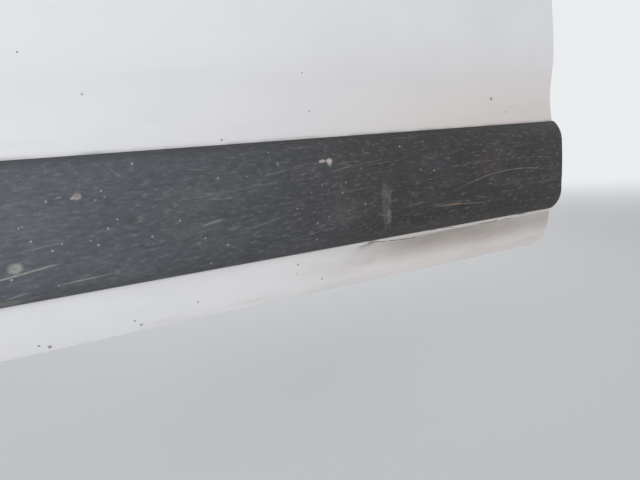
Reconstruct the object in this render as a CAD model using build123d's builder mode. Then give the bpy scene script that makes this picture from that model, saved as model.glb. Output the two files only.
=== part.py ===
# Right-hand front door of a full-size panel van, with hinges, glass, trim and folding mirror.
# Millimetres. +X points to the van's front, +Y inboard, +Z up. The origin is the middle of the
# lower hinge's mounting face, which bolts to the rear-facing side of the windscreen pillar.
import os

from build123d import *

os.makedirs("parts", exist_ok=True)

# Door in side view
door_length = 1150.0  # outer skin, front edge to rear edge
wing_gap = 20.0  # hinge mounting face to the skin's front edge
door_bottom_z = -190.0
door_height = 1500.0
sill_share = 0.55  # window sill's height on the door, behind its step
dip_share = 0.04  # how much lower the sill lies ahead of its step
step_share = 0.36  # front edge to the foot of the step, over the door's length
step_run = 170.0
step_radius = 60.0
slope_share = 0.47  # front edge to the top of the sloping front edge, over the door's length
slope_foot = 25.0  # above the sill
bottom_front_radius = 30.0
bottom_rear_radius = 36.0
slope_foot_radius = 70.0
roof_front_radius = 170.0
roof_rear_radius = 110.0

# Door in section
skin_y = -85.0  # skin line, from which the section's bulges and hollows are measured
skin_wall = 2.0
panel_wall = 2.0
hem_width = 12.0
flange_width = 14.0  # skin edge to the shut faces
sheet_y = -15.0  # inboard face of the inner panel
seam_gap = 0.3  # bonded and clipped joints
roof_lean = 152.0  # how far inboard of the skin line the roof edge lies
belt_lean = 38.0
belt_cover = 10.0  # the section runs on above the sill
tuck_out = (-46.0, -15.0, -7.0)  # outboard of the skin line: under the door, half way, under the moulding
tuck_drop = 16.0  # foot of the tuck, below the door
tuck_rise = 40.0  # its middle, above the door's bottom
seat_out = 1.0  # top of the flat seat that carries the moulding
hollow_out = -4.0
belly_out = 5.0
hollow_rise = 98.0  # above the moulding: where the hollow ends, the belly is fullest, and it ends
belly_rise = 172.0
shoulder_rise = 262.0

# Side moulding
moulding_top_z = 98.0
moulding_height = 200.0
moulding_depth = 28.0
moulding_wall = 3.0

# Window
frame_width = 48.0
frame_depth = 36.0
glass_thickness = 4.0
glass_depth = 15.0  # outer surface of the frame to the glass
channel_bite = 16.0  # how far the rubber channel goes into the frame
glass_bite = 11.0
divider_share = 0.19  # front edge to the front of the moving glass, over the door's length
glass_drop = 45.0  # glass below the window sill

# Hinges
hinge_spacing = 400.0
pin_x = -22.0
pin_y = -45.0
pin_radius = 5.0
pin_fit = 0.05
knuckle_radius = 9.5
door_knuckle_height = 36.0
pillar_knuckle_height = 16.0
knuckle_gap = 0.5
leaf_thickness = 7.0
pillar_leaf_width = 60.0
pillar_leaf_height = 84.0
door_leaf_width = 42.0
door_leaf_height = 92.0
pillar_bolt_spacing = 50.0
pillar_bolt_radius = 5.5
door_bolt_spacing = 68.0
door_bolt_radius = 4.5
shut_gap = 45.0  # pillar face to the door's front shut face

reach = 400.0  # longer than any cut has to be
x_front = -wing_gap
x_rear = x_front - door_length
roof_z = door_bottom_z + door_height
belt_rear_z = door_bottom_z + sill_share * door_height
belt_front_z = belt_rear_z - dip_share * door_height
belt_step_front_x = x_front - step_share * door_length
belt_step_rear_x = belt_step_front_x - step_run
roof_front_x = x_front - slope_share * door_length
divider_x = x_front - divider_share * door_length
moulding_foot_z = moulding_top_z - moulding_height
section_plane = Plane(origin=(x_front + reach, skin_y, 0), x_dir=(0, -1, 0), z_dir=(-1, 0, 0))


def body_layer(depths):
    """Section of the lower door between two depths under its outer surface, (outboard, height)."""
    with BuildSketch(section_plane) as layer:
        with BuildLine():
            ends = []
            for depth in depths:
                tuck = ThreePointArc(
                    (tuck_out[0] - depth, door_bottom_z - tuck_drop),
                    (tuck_out[1] - depth, door_bottom_z + tuck_rise),
                    (tuck_out[2] - depth, moulding_foot_z - 4),
                )
                seat = Line(tuck @ 1, (seat_out - depth, moulding_top_z))
                hollow = ThreePointArc(
                    seat @ 1,
                    (hollow_out - depth, moulding_top_z + hollow_rise / 2),
                    (-depth, moulding_top_z + hollow_rise),
                )
                fullest = (belly_out - depth, moulding_top_z + belly_rise)
                belly = TangentArc(hollow @ 1, fullest, tangent=hollow % 1)
                shoulder = TangentArc(fullest, (-depth, moulding_top_z + shoulder_rise), tangent=belly % 1)
                top = (-belt_lean - depth, belt_rear_z + belt_cover)
                flank = TangentArc(shoulder @ 1, top, tangent=shoulder % 1)
                ends.append((tuck @ 0, flank @ 1))
            Line(ends[0][0], ends[1][0])
            Line(ends[0][1], ends[1][1])
        make_face()
    return layer.sketch


def window_layer(depths):
    """Section of the leaning window part between two depths under its outer surface."""
    lean = (roof_lean - belt_lean) / (roof_z - belt_rear_z)
    foot_z = belt_front_z - 2 * glass_drop
    foot_out = -belt_lean + lean * (belt_rear_z - foot_z)
    with BuildSketch(section_plane) as layer:
        with BuildLine():
            Polyline(
                (foot_out - depths[0], foot_z),
                (-roof_lean - depths[0], roof_z),
                (-roof_lean - depths[1], roof_z),
                (foot_out - depths[1], foot_z),
                close=True,
            )
        make_face()
    return layer.sketch


def door_outline(inset=0.0):
    """Side view of the whole door, drawn in by an inset."""
    with BuildSketch(Plane.XZ) as outline:
        with BuildLine():
            FilletPolyline(
                (x_front, door_bottom_z),
                (x_front, belt_front_z + slope_foot),
                (roof_front_x, roof_z),
                (x_rear, roof_z),
                (x_rear, door_bottom_z),
                close=True,
                radius=[
                    bottom_front_radius,
                    slope_foot_radius,
                    roof_front_radius,
                    roof_rear_radius,
                    bottom_rear_radius,
                ],
            )
        make_face()
        if inset:
            offset(amount=-inset, kind=Kind.INTERSECTION, mode=Mode.REPLACE)
    return outline.sketch


def belt_region(above, rise=0.0):
    """Side view of all that lies above or below the stepped window sill, moved up by a rise."""
    far_z = roof_z + reach if above else door_bottom_z - reach
    with BuildSketch(Plane.XZ) as region:
        with BuildLine():
            FilletPolyline(
                (x_rear - reach, far_z),
                (x_rear - reach, belt_rear_z + rise),
                (belt_step_rear_x, belt_rear_z + rise),
                (belt_step_front_x, belt_front_z + rise),
                (x_front + reach, belt_front_z + rise),
                (x_front + reach, far_z),
                close=True,
                radius=[0, 0, step_radius, step_radius, 0, 0],
            )
        make_face()
    return region.sketch


def box_region(x_low, x_high, z_low, z_high, radius=0.0):
    """Rectangle in side view, with rounded corners if a radius is given."""
    with BuildSketch(Plane.XZ) as region:
        with Locations(((x_low + x_high) / 2, (z_low + z_high) / 2)):
            if radius:
                RectangleRounded(x_high - x_low, z_high - z_low, radius)
            else:
                Rectangle(x_high - x_low, z_high - z_low)
    return region.sketch


def disc(x, z, radius):
    """Circle in side view."""
    with BuildSketch(Plane.XZ) as region:
        with Locations((x, z)):
            Circle(radius)
    return region.sketch


def grown(outline, amount):
    """Side-view outline grown or, with a negative amount, drawn in."""
    with BuildSketch(Plane.XZ) as region:
        add(outline)
        offset(amount=amount, kind=Kind.INTERSECTION, mode=Mode.REPLACE)
    return region.sketch


def window_outline(grow=0.0):
    """Side view of the glass opening, grown into the frame on its three framed sides."""
    return (
        door_outline(frame_width - grow)
        & belt_region(True, -2 * glass_drop)
        & box_region(x_rear, divider_x + grow, door_bottom_z, roof_z)
    )


def slab(outline, inner_y, outer_y, mode=Mode.ADD):
    """Straight-sided solid with a side-view outline, from an inboard to an outboard plane."""
    extrude(outline.moved(Location((0, inner_y, 0))), amount=inner_y - outer_y, mode=mode)


def sheet(section, outline, mode=Mode.ADD):
    """Run a section along the door and cut it to a side-view outline."""
    with BuildPart() as run:
        extrude(section, amount=door_length + 2 * reach)
        slab(outline, reach, -reach, mode=Mode.INTERSECT)
    add(run.part, mode=mode)


def skin_y_at(height):
    """Where the door's outer surface lies at a height."""
    cut = Location((x_front + reach, skin_y, height)) * Box(1, reach, seam_gap)
    return (body_layer((0, skin_wall)) & cut).bounding_box().min.Y


def finish(piece, name):
    """Label one sub-part and write it."""
    piece.part.label = name
    export_step(piece.part, f"parts/{name}.step")


# Outer skin: one pressing with a hem folded round the edges of the inner panel
handle_x = x_rear + 165.0
handle_z = belt_rear_z - 195.0
recess_length = 150.0
recess_height = 78.0
recess_depth = 24.0
recess_wall = 2.5
lock_x = handle_x - 79.0
lock_z = handle_z - 55.0
lock_radius = 11.0
lock_length = 32.0
flange_depth = skin_wall + seam_gap
hem_depth = flange_depth + panel_wall + seam_gap
below_belt = belt_region(False)
recess_outline = box_region(
    handle_x - recess_length / 2,
    handle_x + recess_length / 2,
    handle_z - recess_height / 2,
    handle_z + recess_height / 2,
    recess_height / 2.2,
)
with BuildPart() as outer_skin:
    sheet(body_layer((0, hem_depth + skin_wall)), door_outline() & below_belt)
    sheet(body_layer((skin_wall, hem_depth)), door_outline(skin_wall), mode=Mode.SUBTRACT)
    sheet(body_layer((skin_wall, reach)), door_outline(hem_width), mode=Mode.SUBTRACT)
    slab(recess_outline, sheet_y, -reach, mode=Mode.SUBTRACT)
    slab(disc(lock_x, lock_z, lock_radius + seam_gap), sheet_y, -reach, mode=Mode.SUBTRACT)
finish(outer_skin, "outer_skin")

everywhere = box_region(x_rear - reach, x_front + reach, door_bottom_z - reach, roof_z + reach)

# Inner panel: a pressed pan whose side walls are the shut faces, flanged into the skin's hem
rail_height = 46.0
seal_width = 6.0
latch_z = handle_z - 90.0
latch_mouth = 20.0
latch_mouth_depth = 34.0
latch_mouth_reach = 14.0  # into the door from the rear shut face
service_holes = [  # centre's share of the door's length, centre above the bottom, length, height, radius
    (0.30, 310.0, 380.0, 250.0, 45.0),
    (0.64, 390.0, 220.0, 300.0, 40.0),
    (0.28, 630.0, 330.0, 170.0, 40.0),
    (0.84, 520.0, 110.0, 150.0, 30.0),
]
speaker_x = x_front - 155.0
speaker_z = 30.0
speaker_radius = 80.0
rear_shut_x = x_rear + flange_width
front_shut_x = -shut_gap
rail_depth = glass_depth + glass_thickness + seam_gap + seal_width
pan_outline = (
    door_outline(flange_width)
    & belt_region(False, -seam_gap)
    & box_region(rear_shut_x, front_shut_x, door_bottom_z, roof_z)
)
pan_inside = door_outline(flange_width + panel_wall) & box_region(
    rear_shut_x + panel_wall, front_shut_x - panel_wall, door_bottom_z, roof_z
)
flange_ring = door_outline(skin_wall + seam_gap) - pan_inside
rail_outline = pan_inside & belt_region(False, -seam_gap) & belt_region(True, -rail_height)
with BuildPart() as belt_rail:
    sheet(window_layer((rail_depth, reach)), rail_outline)
    slab(everywhere, sheet_y, -reach, mode=Mode.INTERSECT)
with BuildPart() as inner_panel:
    slab(pan_outline, sheet_y, -reach)
    slab(pan_inside, sheet_y - panel_wall, -reach, mode=Mode.SUBTRACT)
    sheet(body_layer((-reach, flange_depth)), everywhere, mode=Mode.SUBTRACT)
    sheet(body_layer((flange_depth, flange_depth + panel_wall)), flange_ring & below_belt)
    add(belt_rail.part)
    for share, above, length, height, radius in service_holes:
        hole_x = x_rear + share * door_length
        hole_z = door_bottom_z + above
        hole = box_region(
            hole_x - length / 2, hole_x + length / 2, hole_z - height / 2, hole_z + height / 2, radius
        )
        slab(hole, reach, sheet_y - 2 * panel_wall, mode=Mode.SUBTRACT)
    speaker_hole = disc(speaker_x, speaker_z, speaker_radius)
    slab(speaker_hole, reach, sheet_y - 2 * panel_wall, mode=Mode.SUBTRACT)
    mouth = box_region(
        x_rear, rear_shut_x + latch_mouth_reach, latch_z - latch_mouth / 2, latch_z + latch_mouth / 2
    )
    slab(mouth, reach, sheet_y - latch_mouth_depth, mode=Mode.SUBTRACT)
finish(inner_panel, "inner_panel")

# Side moulding: a deep plastic plank, open at the back, with a rounded brow and chin
moulding_end_gap = 1.0


def moulding_section(inset, back):
    """Section of the moulding drawn in by a wall, from its face to a line behind it."""
    top = moulding_top_z - inset
    foot = moulding_foot_z + inset
    face = moulding_depth - inset
    with BuildSketch(section_plane) as section:
        with BuildLine():
            brow = ThreePointArc((5 - inset, top), (face - 9, top - 16), (face - 1, top - 44))
            bulge = ThreePointArc(brow @ 1, (face, top - 75), (face - 2, foot + 54))
            chin = ThreePointArc(bulge @ 1, (face - 11, foot + 18), (-2 - inset, foot))
            Polyline(chin @ 1, (-7 + back, foot), (1 + back, top), brow @ 0)
        make_face()
    return section.sketch


moulding_band = box_region(x_rear, x_front, moulding_foot_z, moulding_top_z)
with BuildPart() as side_moulding:
    sheet(moulding_section(0, seam_gap), door_outline(moulding_end_gap) & moulding_band)
    inside = door_outline(moulding_end_gap + moulding_wall) & moulding_band
    sheet(moulding_section(moulding_wall, -moulding_depth), inside, mode=Mode.SUBTRACT)
finish(side_moulding, "side_moulding")

# Window frame: a deep pressed ring with a groove for the glass, closed ahead of the divider
groove_lip = 5.5  # frame metal each side of the glass is cut back this far
corner_wall = 8.0
divider_width = 26.0
above_belt = belt_region(True, seam_gap)
groove_depths = (glass_depth - groove_lip, glass_depth + glass_thickness + groove_lip)
corner_recess = (
    door_outline(frame_width)
    & belt_region(True, corner_wall)
    & box_region(divider_x + divider_width, x_front, door_bottom_z, roof_z)
)
with BuildPart() as window_frame:
    sheet(window_layer((0, frame_depth)), (door_outline() - window_outline()) & above_belt)
    groove = window_outline(channel_bite) & above_belt
    sheet(window_layer(groove_depths), groove, mode=Mode.SUBTRACT)
    sheet(window_layer((corner_wall, reach / 2)), corner_recess, mode=Mode.SUBTRACT)
finish(window_frame, "window_frame")

# Door glass, in its rubber channel and between the two sill seals
channel_lip = 2.0
slot_gap = 0.4
with BuildPart() as door_glass:
    pane = window_outline(glass_bite) & belt_region(True, -glass_drop)
    sheet(window_layer((glass_depth, glass_depth + glass_thickness)), pane)
finish(door_glass, "door_glass")

with BuildPart() as glass_channel:
    ring = (window_outline(channel_bite - seam_gap) - window_outline(-channel_lip)) & above_belt
    sheet(window_layer((groove_depths[0] + seam_gap, groove_depths[1] - seam_gap)), ring)
    slot = (glass_depth - slot_gap, glass_depth + glass_thickness + slot_gap)
    sheet(window_layer(slot), window_outline(glass_bite + slot_gap), mode=Mode.SUBTRACT)
finish(glass_channel, "glass_channel")

sill_span = box_region(
    x_rear + frame_width + channel_lip + slot_gap, divider_x - channel_lip - slot_gap, door_bottom_z, roof_z
)
sill_seals = [  # name, outer depth, inner depth, height under the sill, height over it
    ("outer_sill_seal", -1.5, glass_depth - slot_gap, 0.0, 7.0),
    ("inner_sill_seal", glass_depth + glass_thickness + slot_gap, rail_depth - seam_gap, 14.0, 5.0),
]
for name, outer_depth, inner_depth, below, over in sill_seals:
    with BuildPart() as sill_seal:
        strip = belt_region(True, seam_gap - below) & belt_region(False, over)
        sheet(window_layer((outer_depth, inner_depth)), strip & sill_span)
    finish(sill_seal, name)

# Weatherstrip round the inner face, bonded to the panel below the sill and to the frame above
strip_inset = 30.0
strip_width = 12.0
strip_depth = 12.0
strip_ring = door_outline(strip_inset) - door_outline(strip_inset + strip_width)
with BuildPart() as weatherstrip:
    slab(strip_ring & belt_region(False, 4), sheet_y + strip_depth, sheet_y + seam_gap)
    frame_side = window_layer((-reach, frame_depth + seam_gap))
    sheet(frame_side, strip_ring & belt_region(True), mode=Mode.SUBTRACT)
    upper_depths = (frame_depth + seam_gap, frame_depth + strip_depth)
    sheet(window_layer(upper_depths), strip_ring & belt_region(True))
finish(weatherstrip, "weatherstrip")

# Corner covers: the outer one carries the mirror arm
corner_cover_depth = 8.0
corner_cover_inset = 14.0
cover_outline = (
    door_outline(corner_cover_inset)
    & belt_region(True, 2 * seam_gap)
    & box_region(divider_x + channel_lip, x_front, door_bottom_z, roof_z)
)
with BuildPart() as mirror_base:
    sheet(window_layer((-corner_cover_depth, -seam_gap)), cover_outline)
finish(mirror_base, "mirror_base")

with BuildPart() as inner_corner_cover:
    sheet(window_layer((frame_depth - 5, frame_depth + 2)), grown(corner_recess, -seam_gap))
finish(inner_corner_cover, "inner_corner_cover")

# Hinges: a leaf with two knuckles on the pillar, a leaf with one on the door, and a headed pin
pin_head_radius = 7.5
pin_head_height = 3.0
pin_tail = 1.5
knuckle_top = door_knuckle_height / 2 + knuckle_gap + pillar_knuckle_height
knuckle_middle = (door_knuckle_height + pillar_knuckle_height) / 2 + knuckle_gap
door_leaf_x = front_shut_x + seam_gap


def knuckle_profile(z, foot_a, foot_b):
    """Top view of a knuckle with its arm, the hull of the knuckle and its foot on the leaf."""
    with BuildSketch(Plane.XY.offset(z)) as profile:
        with BuildLine(mode=Mode.PRIVATE) as edges:
            CenterArc((pin_x, pin_y), knuckle_radius, 0, 360)
            Line(foot_a, foot_b)
        make_hull(edges.line.edges())
    return profile.sketch


def bore(centre, direction, radius, length):
    """Round hole through the part being built."""
    with Locations(Plane(origin=centre, z_dir=direction)):
        Cylinder(radius, length, mode=Mode.SUBTRACT)


for name, hinge_z in (("lower_hinge", 0.0), ("upper_hinge", hinge_spacing)):
    with BuildPart() as pillar_leaf:
        with Locations((-leaf_thickness / 2, 0, hinge_z)):
            Box(leaf_thickness, pillar_leaf_width, pillar_leaf_height)
        fillet(pillar_leaf.edges().filter_by(Axis.X), 8)
        foot_a = (-1, -pillar_leaf_width / 2)
        foot_b = (-leaf_thickness, -pillar_leaf_width / 2 + 24)
        for side in (-1, 1):
            low_z = hinge_z + side * knuckle_middle - pillar_knuckle_height / 2
            extrude(knuckle_profile(low_z, foot_a, foot_b), amount=pillar_knuckle_height)
        bore((pin_x, pin_y, hinge_z), (0, 0, 1), pin_radius + pin_fit, 4 * knuckle_top)
        for side in (-1, 1):
            bolt_z = hinge_z + side * pillar_bolt_spacing / 2
            bore((0, 0, bolt_z), (1, 0, 0), pillar_bolt_radius, 4 * leaf_thickness)
    finish(pillar_leaf, f"{name}_pillar_leaf")

    with BuildPart() as door_leaf:
        with Locations((door_leaf_x + leaf_thickness / 2, pin_y, hinge_z)):
            Box(leaf_thickness, door_leaf_width, door_leaf_height)
        fillet(door_leaf.edges().filter_by(Axis.X), 7)
        foot_x = door_leaf_x + leaf_thickness
        foot_half = door_leaf_width / 2 - 5
        low_z = hinge_z - door_knuckle_height / 2
        arm = knuckle_profile(low_z, (foot_x, pin_y - foot_half), (foot_x, pin_y + foot_half))
        extrude(arm, amount=door_knuckle_height)
        bore((pin_x, pin_y, hinge_z), (0, 0, 1), pin_radius + pin_fit, 4 * knuckle_top)
        for side in (-1, 1):
            bolt_z = hinge_z + side * door_bolt_spacing / 2
            bore((door_leaf_x, pin_y, bolt_z), (1, 0, 0), door_bolt_radius, 4 * leaf_thickness)
    finish(door_leaf, f"{name}_door_leaf")

    with BuildPart() as hinge_pin:
        with BuildSketch(Plane.XZ.offset(-pin_y)):
            with Locations((pin_x, hinge_z)):
                with BuildLine():
                    Polyline(
                        (pin_x, hinge_z - knuckle_top - pin_tail),
                        (pin_x + pin_radius, hinge_z - knuckle_top - pin_tail),
                        (pin_x + pin_radius, hinge_z + knuckle_top + seam_gap),
                        (pin_x + pin_head_radius, hinge_z + knuckle_top + seam_gap),
                        (pin_x + pin_head_radius, hinge_z + knuckle_top + seam_gap + pin_head_height),
                        (pin_x, hinge_z + knuckle_top + seam_gap + pin_head_height),
                        close=True,
                    )
                make_face()
        revolve(axis=Axis((pin_x, pin_y, 0), (0, 0, 1)))
    finish(hinge_pin, f"{name}_pin")

# Latch behind the rear shut face, with its claw open for the pillar's striker
latch_height = 116.0
latch_thickness = 38.0
latch_depth = 58.0
claw_radius = 19.0
claw_thickness = 6.0
claw_z = latch_z - 19.0
claw_y = sheet_y - latch_mouth_depth - 4.0
latch_x = rear_shut_x + panel_wall + seam_gap
latch_face_y = sheet_y - panel_wall - seam_gap
with BuildPart() as latch_case:
    case = box_region(
        latch_x, latch_x + latch_thickness, latch_z - latch_height / 2, latch_z + latch_height / 2, 6
    )
    slab(case, latch_face_y, latch_face_y - latch_depth)
    slab(mouth, reach, sheet_y - latch_mouth_depth, mode=Mode.SUBTRACT)
    bore((latch_x, claw_y, claw_z), (1, 0, 0), claw_radius + seam_gap, 2 * (claw_thickness + 2 * seam_gap))
finish(latch_case, "latch_case")

with BuildPart() as latch_claw:
    with Locations(Plane(origin=(latch_x, claw_y, claw_z), z_dir=(1, 0, 0))):
        Cylinder(claw_radius, claw_thickness, align=(Align.CENTER, Align.CENTER, Align.MIN))
    slab(mouth, reach, sheet_y - latch_mouth_depth, mode=Mode.SUBTRACT)
finish(latch_claw, "latch_claw")

# Outer handle: a bridge grip over a dished recess, and the lock cylinder below its rear foot
grip_length = 236.0
grip_height = 30.0
grip_stand = 46.0
grip_thickness = 17.0
grip_foot = 34.0
handle_y = skin_y_at(handle_z)
lock_y = skin_y_at(lock_z) - 2.0  # stands a little proud
with BuildPart() as handle_recess:
    sheet(body_layer((-1.8, -seam_gap)), grown(recess_outline, 4))
    slab(grown(recess_outline, -seam_gap), handle_y + recess_depth, handle_y - 6)
    sheet(body_layer((-reach, -1.8)), everywhere, mode=Mode.SUBTRACT)
    bowl = grown(recess_outline, -seam_gap - recess_wall)
    slab(bowl, handle_y + recess_depth - recess_wall, -reach, mode=Mode.SUBTRACT)
finish(handle_recess, "handle_recess")

with BuildPart() as handle_grip:
    with BuildSketch(Plane.XY.offset(handle_z - grip_height / 2)):
        half = grip_length / 2
        inner_half = half - grip_foot
        inner_stand = grip_stand - grip_thickness
        foot_y = handle_y + 8
        with BuildLine():
            outer_arc = ThreePointArc(
                (handle_x - half, handle_y - 10), (handle_x, handle_y - grip_stand), (handle_x + half, handle_y - 10)
            )
            Polyline(
                outer_arc @ 1, (handle_x + half, foot_y), (handle_x + inner_half, foot_y),
                (handle_x + inner_half, handle_y - 4),
            )
            ThreePointArc(
                (handle_x + inner_half, handle_y - 4),
                (handle_x, handle_y - inner_stand),
                (handle_x - inner_half, handle_y - 4),
            )
            Polyline(
                (handle_x - inner_half, handle_y - 4), (handle_x - inner_half, foot_y),
                (handle_x - half, foot_y), outer_arc @ 0,
            )
        make_face()
    extrude(amount=grip_height)
    fillet(handle_grip.faces().filter_by(Axis.Z).edges().filter_by(GeomType.CIRCLE), 5)
    sheet(body_layer((-seam_gap, reach)), everywhere, mode=Mode.SUBTRACT)
finish(handle_grip, "handle_grip")

with BuildPart() as lock_cylinder:
    slab(disc(lock_x, lock_z, lock_radius), lock_y + lock_length, lock_y)
    keyway = box_region(lock_x - 1, lock_x + 1, lock_z - 5, lock_z + 5)
    slab(keyway, lock_y + 3, -reach, mode=Mode.SUBTRACT)
finish(lock_cylinder, "lock_cylinder")

# Trim panel: a moulded tray inside the weatherstrip, with a padded roll fixed on it under the sill
trim_inset = 45.0
trim_rise = 18.0  # tray depth off the inner panel
trim_wall = 3.0
roll_height = 74.0
roll_depth = 24.0
trim_back_y = sheet_y + seam_gap
trim_y = trim_back_y + trim_rise
trim_outline = door_outline(trim_inset) & belt_region(False)
trim_face_y = trim_y + seam_gap  # back of all that is fixed on the tray
with BuildPart() as trim_panel:
    slab(trim_outline, trim_y, trim_back_y)
    slab(grown(trim_outline, -trim_wall), trim_y - trim_wall, -reach, mode=Mode.SUBTRACT)
    slab(speaker_hole, reach, -reach, mode=Mode.SUBTRACT)
finish(trim_panel, "trim_panel")

with BuildPart() as sill_roll:
    slab(trim_outline & belt_region(True, -roll_height), trim_face_y + roll_depth, trim_face_y)
    fillet(sill_roll.faces().sort_by(Axis.Y)[-1].edges(), roll_depth / 2)
finish(sill_roll, "sill_roll")

# Speaker grille: a dished disc with a fan of slots, pressed into the trim
grille_flange = 9.0
grille_dish = 5.0
slot_width = 5.0
slot_pitch = 11.0
slot_rows = 13
with BuildPart() as speaker_grille:
    slab(disc(speaker_x, speaker_z, speaker_radius + grille_flange), trim_face_y + 4, trim_face_y)
    slab(disc(speaker_x, speaker_z, speaker_radius - seam_gap), trim_face_y, trim_y - grille_dish - 3)
    inner_disc = disc(speaker_x, speaker_z, speaker_radius - 3)
    slab(inner_disc, reach, trim_y - grille_dish, mode=Mode.SUBTRACT)
    for row in range(slot_rows):
        slot_z = speaker_z + (row - (slot_rows - 1) / 2) * slot_pitch
        slot_half = ((speaker_radius - 9) ** 2 - (slot_z - speaker_z) ** 2) ** 0.5
        slot = box_region(
            speaker_x - slot_half, speaker_x + slot_half, slot_z - slot_width / 2, slot_z + slot_width / 2
        )
        slab(slot, reach, -reach, mode=Mode.SUBTRACT)
finish(speaker_grille, "speaker_grille")

# Map pocket: an open bin along the foot of the trim, with one divider
pocket_x = (x_rear + 85.0, x_front - 280.0)
pocket_z = (door_bottom_z + 55.0, door_bottom_z + 265.0)
pocket_mouth = 80.0
pocket_foot = 52.0
pocket_wall = 3.0
pocket_corner = 24.0
pocket_divider_x = pocket_x[1] - 220.0


def pocket_section(inset, top_z):
    """Side section of the bin, drawn in by its wall, up to a height."""
    with BuildSketch(Plane.YZ.offset(pocket_x[0] + inset)) as section:
        with BuildLine():
            FilletPolyline(
                (trim_face_y + inset, top_z),
                (trim_face_y + inset, pocket_z[0] + inset),
                (trim_face_y + pocket_foot - inset, pocket_z[0] + inset),
                (trim_face_y + pocket_mouth - inset, top_z),
                close=True,
                radius=[0, pocket_corner / 3, pocket_corner - inset, 0],
            )
        make_face()
    return section.sketch


with BuildPart() as map_pocket:
    extrude(pocket_section(0, pocket_z[1]), amount=pocket_x[1] - pocket_x[0])
    fillet(map_pocket.edges().filter_by(Axis.Z).sort_by(Axis.Y)[-2:], 1)
    spans = ((pocket_x[0] + pocket_wall, pocket_divider_x), (pocket_divider_x + pocket_wall, pocket_x[1] - pocket_wall))
    for low_x, high_x in spans:
        hollow = pocket_section(pocket_wall, pocket_z[1] + pocket_wall)
        extrude(
            hollow.moved(Location((low_x - pocket_x[0] - pocket_wall, 0, 0))),
            amount=high_x - low_x,
            mode=Mode.SUBTRACT,
        )
finish(map_pocket, "map_pocket")

# Armrest: a padded shelf with a pull cup, and the window switch on its front end
armrest_length = 420.0
armrest_rear = 260.0  # ahead of the door's rear edge
armrest_x = (x_rear + armrest_rear, x_rear + armrest_rear + armrest_length)
armrest_z = (262.0, 305.0)
armrest_out = 68.0
armrest_skirt = 40.0  # how far its underside slopes down to the trim
cup_x = (armrest_x[1] - 150.0, armrest_x[1] - 50.0)
cup_width = 34.0
cup_depth = 30.0
shelf_y = trim_face_y + 30.0  # middle of the cup and of the switch panel
with BuildPart() as armrest:
    with BuildSketch(Plane.YZ.offset(armrest_x[0])):
        with BuildLine():
            FilletPolyline(
                (trim_face_y, armrest_z[1]),
                (trim_face_y, armrest_z[0] - armrest_skirt),
                (trim_face_y + armrest_out, armrest_z[0]),
                (trim_face_y + armrest_out, armrest_z[1]),
                close=True,
                radius=[0, 0, 12, 14],
            )
        make_face()
    extrude(amount=armrest_x[1] - armrest_x[0])
    fillet(armrest.faces().sort_by(Axis.Y)[-1].edges().filter_by(Axis.Z), 12)
    with BuildSketch(Plane.XY.offset(armrest_z[1])):
        with Locations(((cup_x[0] + cup_x[1]) / 2, shelf_y)):
            SlotOverall(cup_x[1] - cup_x[0], cup_width)
    extrude(amount=-cup_depth, mode=Mode.SUBTRACT)
finish(armrest, "armrest")

switch_length = 84.0
switch_width = 36.0
switch_plate = 4.0
rocker_length = 26.0
rocker_width = 20.0
rocker_height = 5.0
switch_x = cup_x[0] - (switch_length + rocker_width) / 2
with BuildPart() as window_switch:
    with BuildSketch(Plane.XY.offset(armrest_z[1] + seam_gap)):
        with Locations((switch_x, shelf_y)):
            RectangleRounded(switch_length, switch_width, switch_width / 4)
    extrude(amount=switch_plate)
    with BuildSketch(Plane.XY.offset(armrest_z[1] + switch_plate)):
        with Locations((switch_x, shelf_y)):
            with GridLocations(rocker_length + 10, 0, 2, 1):
                RectangleRounded(rocker_length, rocker_width, 3)
    extrude(amount=rocker_height, taper=12)
finish(window_switch, "window_switch")

# Inner release: a dished bezel with the pull lever hinged in it
release_x = x_front - 310.0
release_z = belt_front_z - 175.0
release_length = 136.0
release_height = 62.0
bezel_rise = 16.0
bezel_rim = 7.0
bezel_floor = 3.0
with BuildPart() as release_bezel:
    bezel = box_region(
        release_x - release_length / 2,
        release_x + release_length / 2,
        release_z - release_height / 2,
        release_z + release_height / 2,
        18,
    )
    slab(bezel, trim_face_y + bezel_rise, trim_face_y)
    fillet(release_bezel.faces().sort_by(Axis.Y)[-1].edges(), 4)
    slab(grown(bezel, -bezel_rim), reach, trim_face_y + bezel_floor, mode=Mode.SUBTRACT)
finish(release_bezel, "release_bezel")

lever_height = 24.0
hinge_block = 20.0  # thick front end of the lever, round its hinge
lever_front = release_x + release_length / 2 - bezel_rim - seam_gap
lever_rear = lever_front - 0.74 * release_length
lever_middle = (lever_front - hinge_block + lever_rear) / 2
lever_y = trim_face_y + bezel_floor + seam_gap
with BuildPart() as release_lever:
    with BuildSketch(Plane.XY.offset(release_z - lever_height / 2)):
        with BuildLine():
            Polyline(
                (lever_front - hinge_block, lever_y),
                (lever_front, lever_y),
                (lever_front, lever_y + 9),
                (lever_front - hinge_block, lever_y + 14),
            )
            ThreePointArc(
                (lever_front - hinge_block, lever_y + 14), (lever_middle, lever_y + 11), (lever_rear, lever_y + 17)
            )
            Line((lever_rear, lever_y + 17), (lever_rear, lever_y + 12))
            ThreePointArc(
                (lever_rear, lever_y + 12), (lever_middle, lever_y + 4), (lever_front - hinge_block, lever_y)
            )
        make_face()
    extrude(amount=lever_height)
finish(release_lever, "release_lever")

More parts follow.
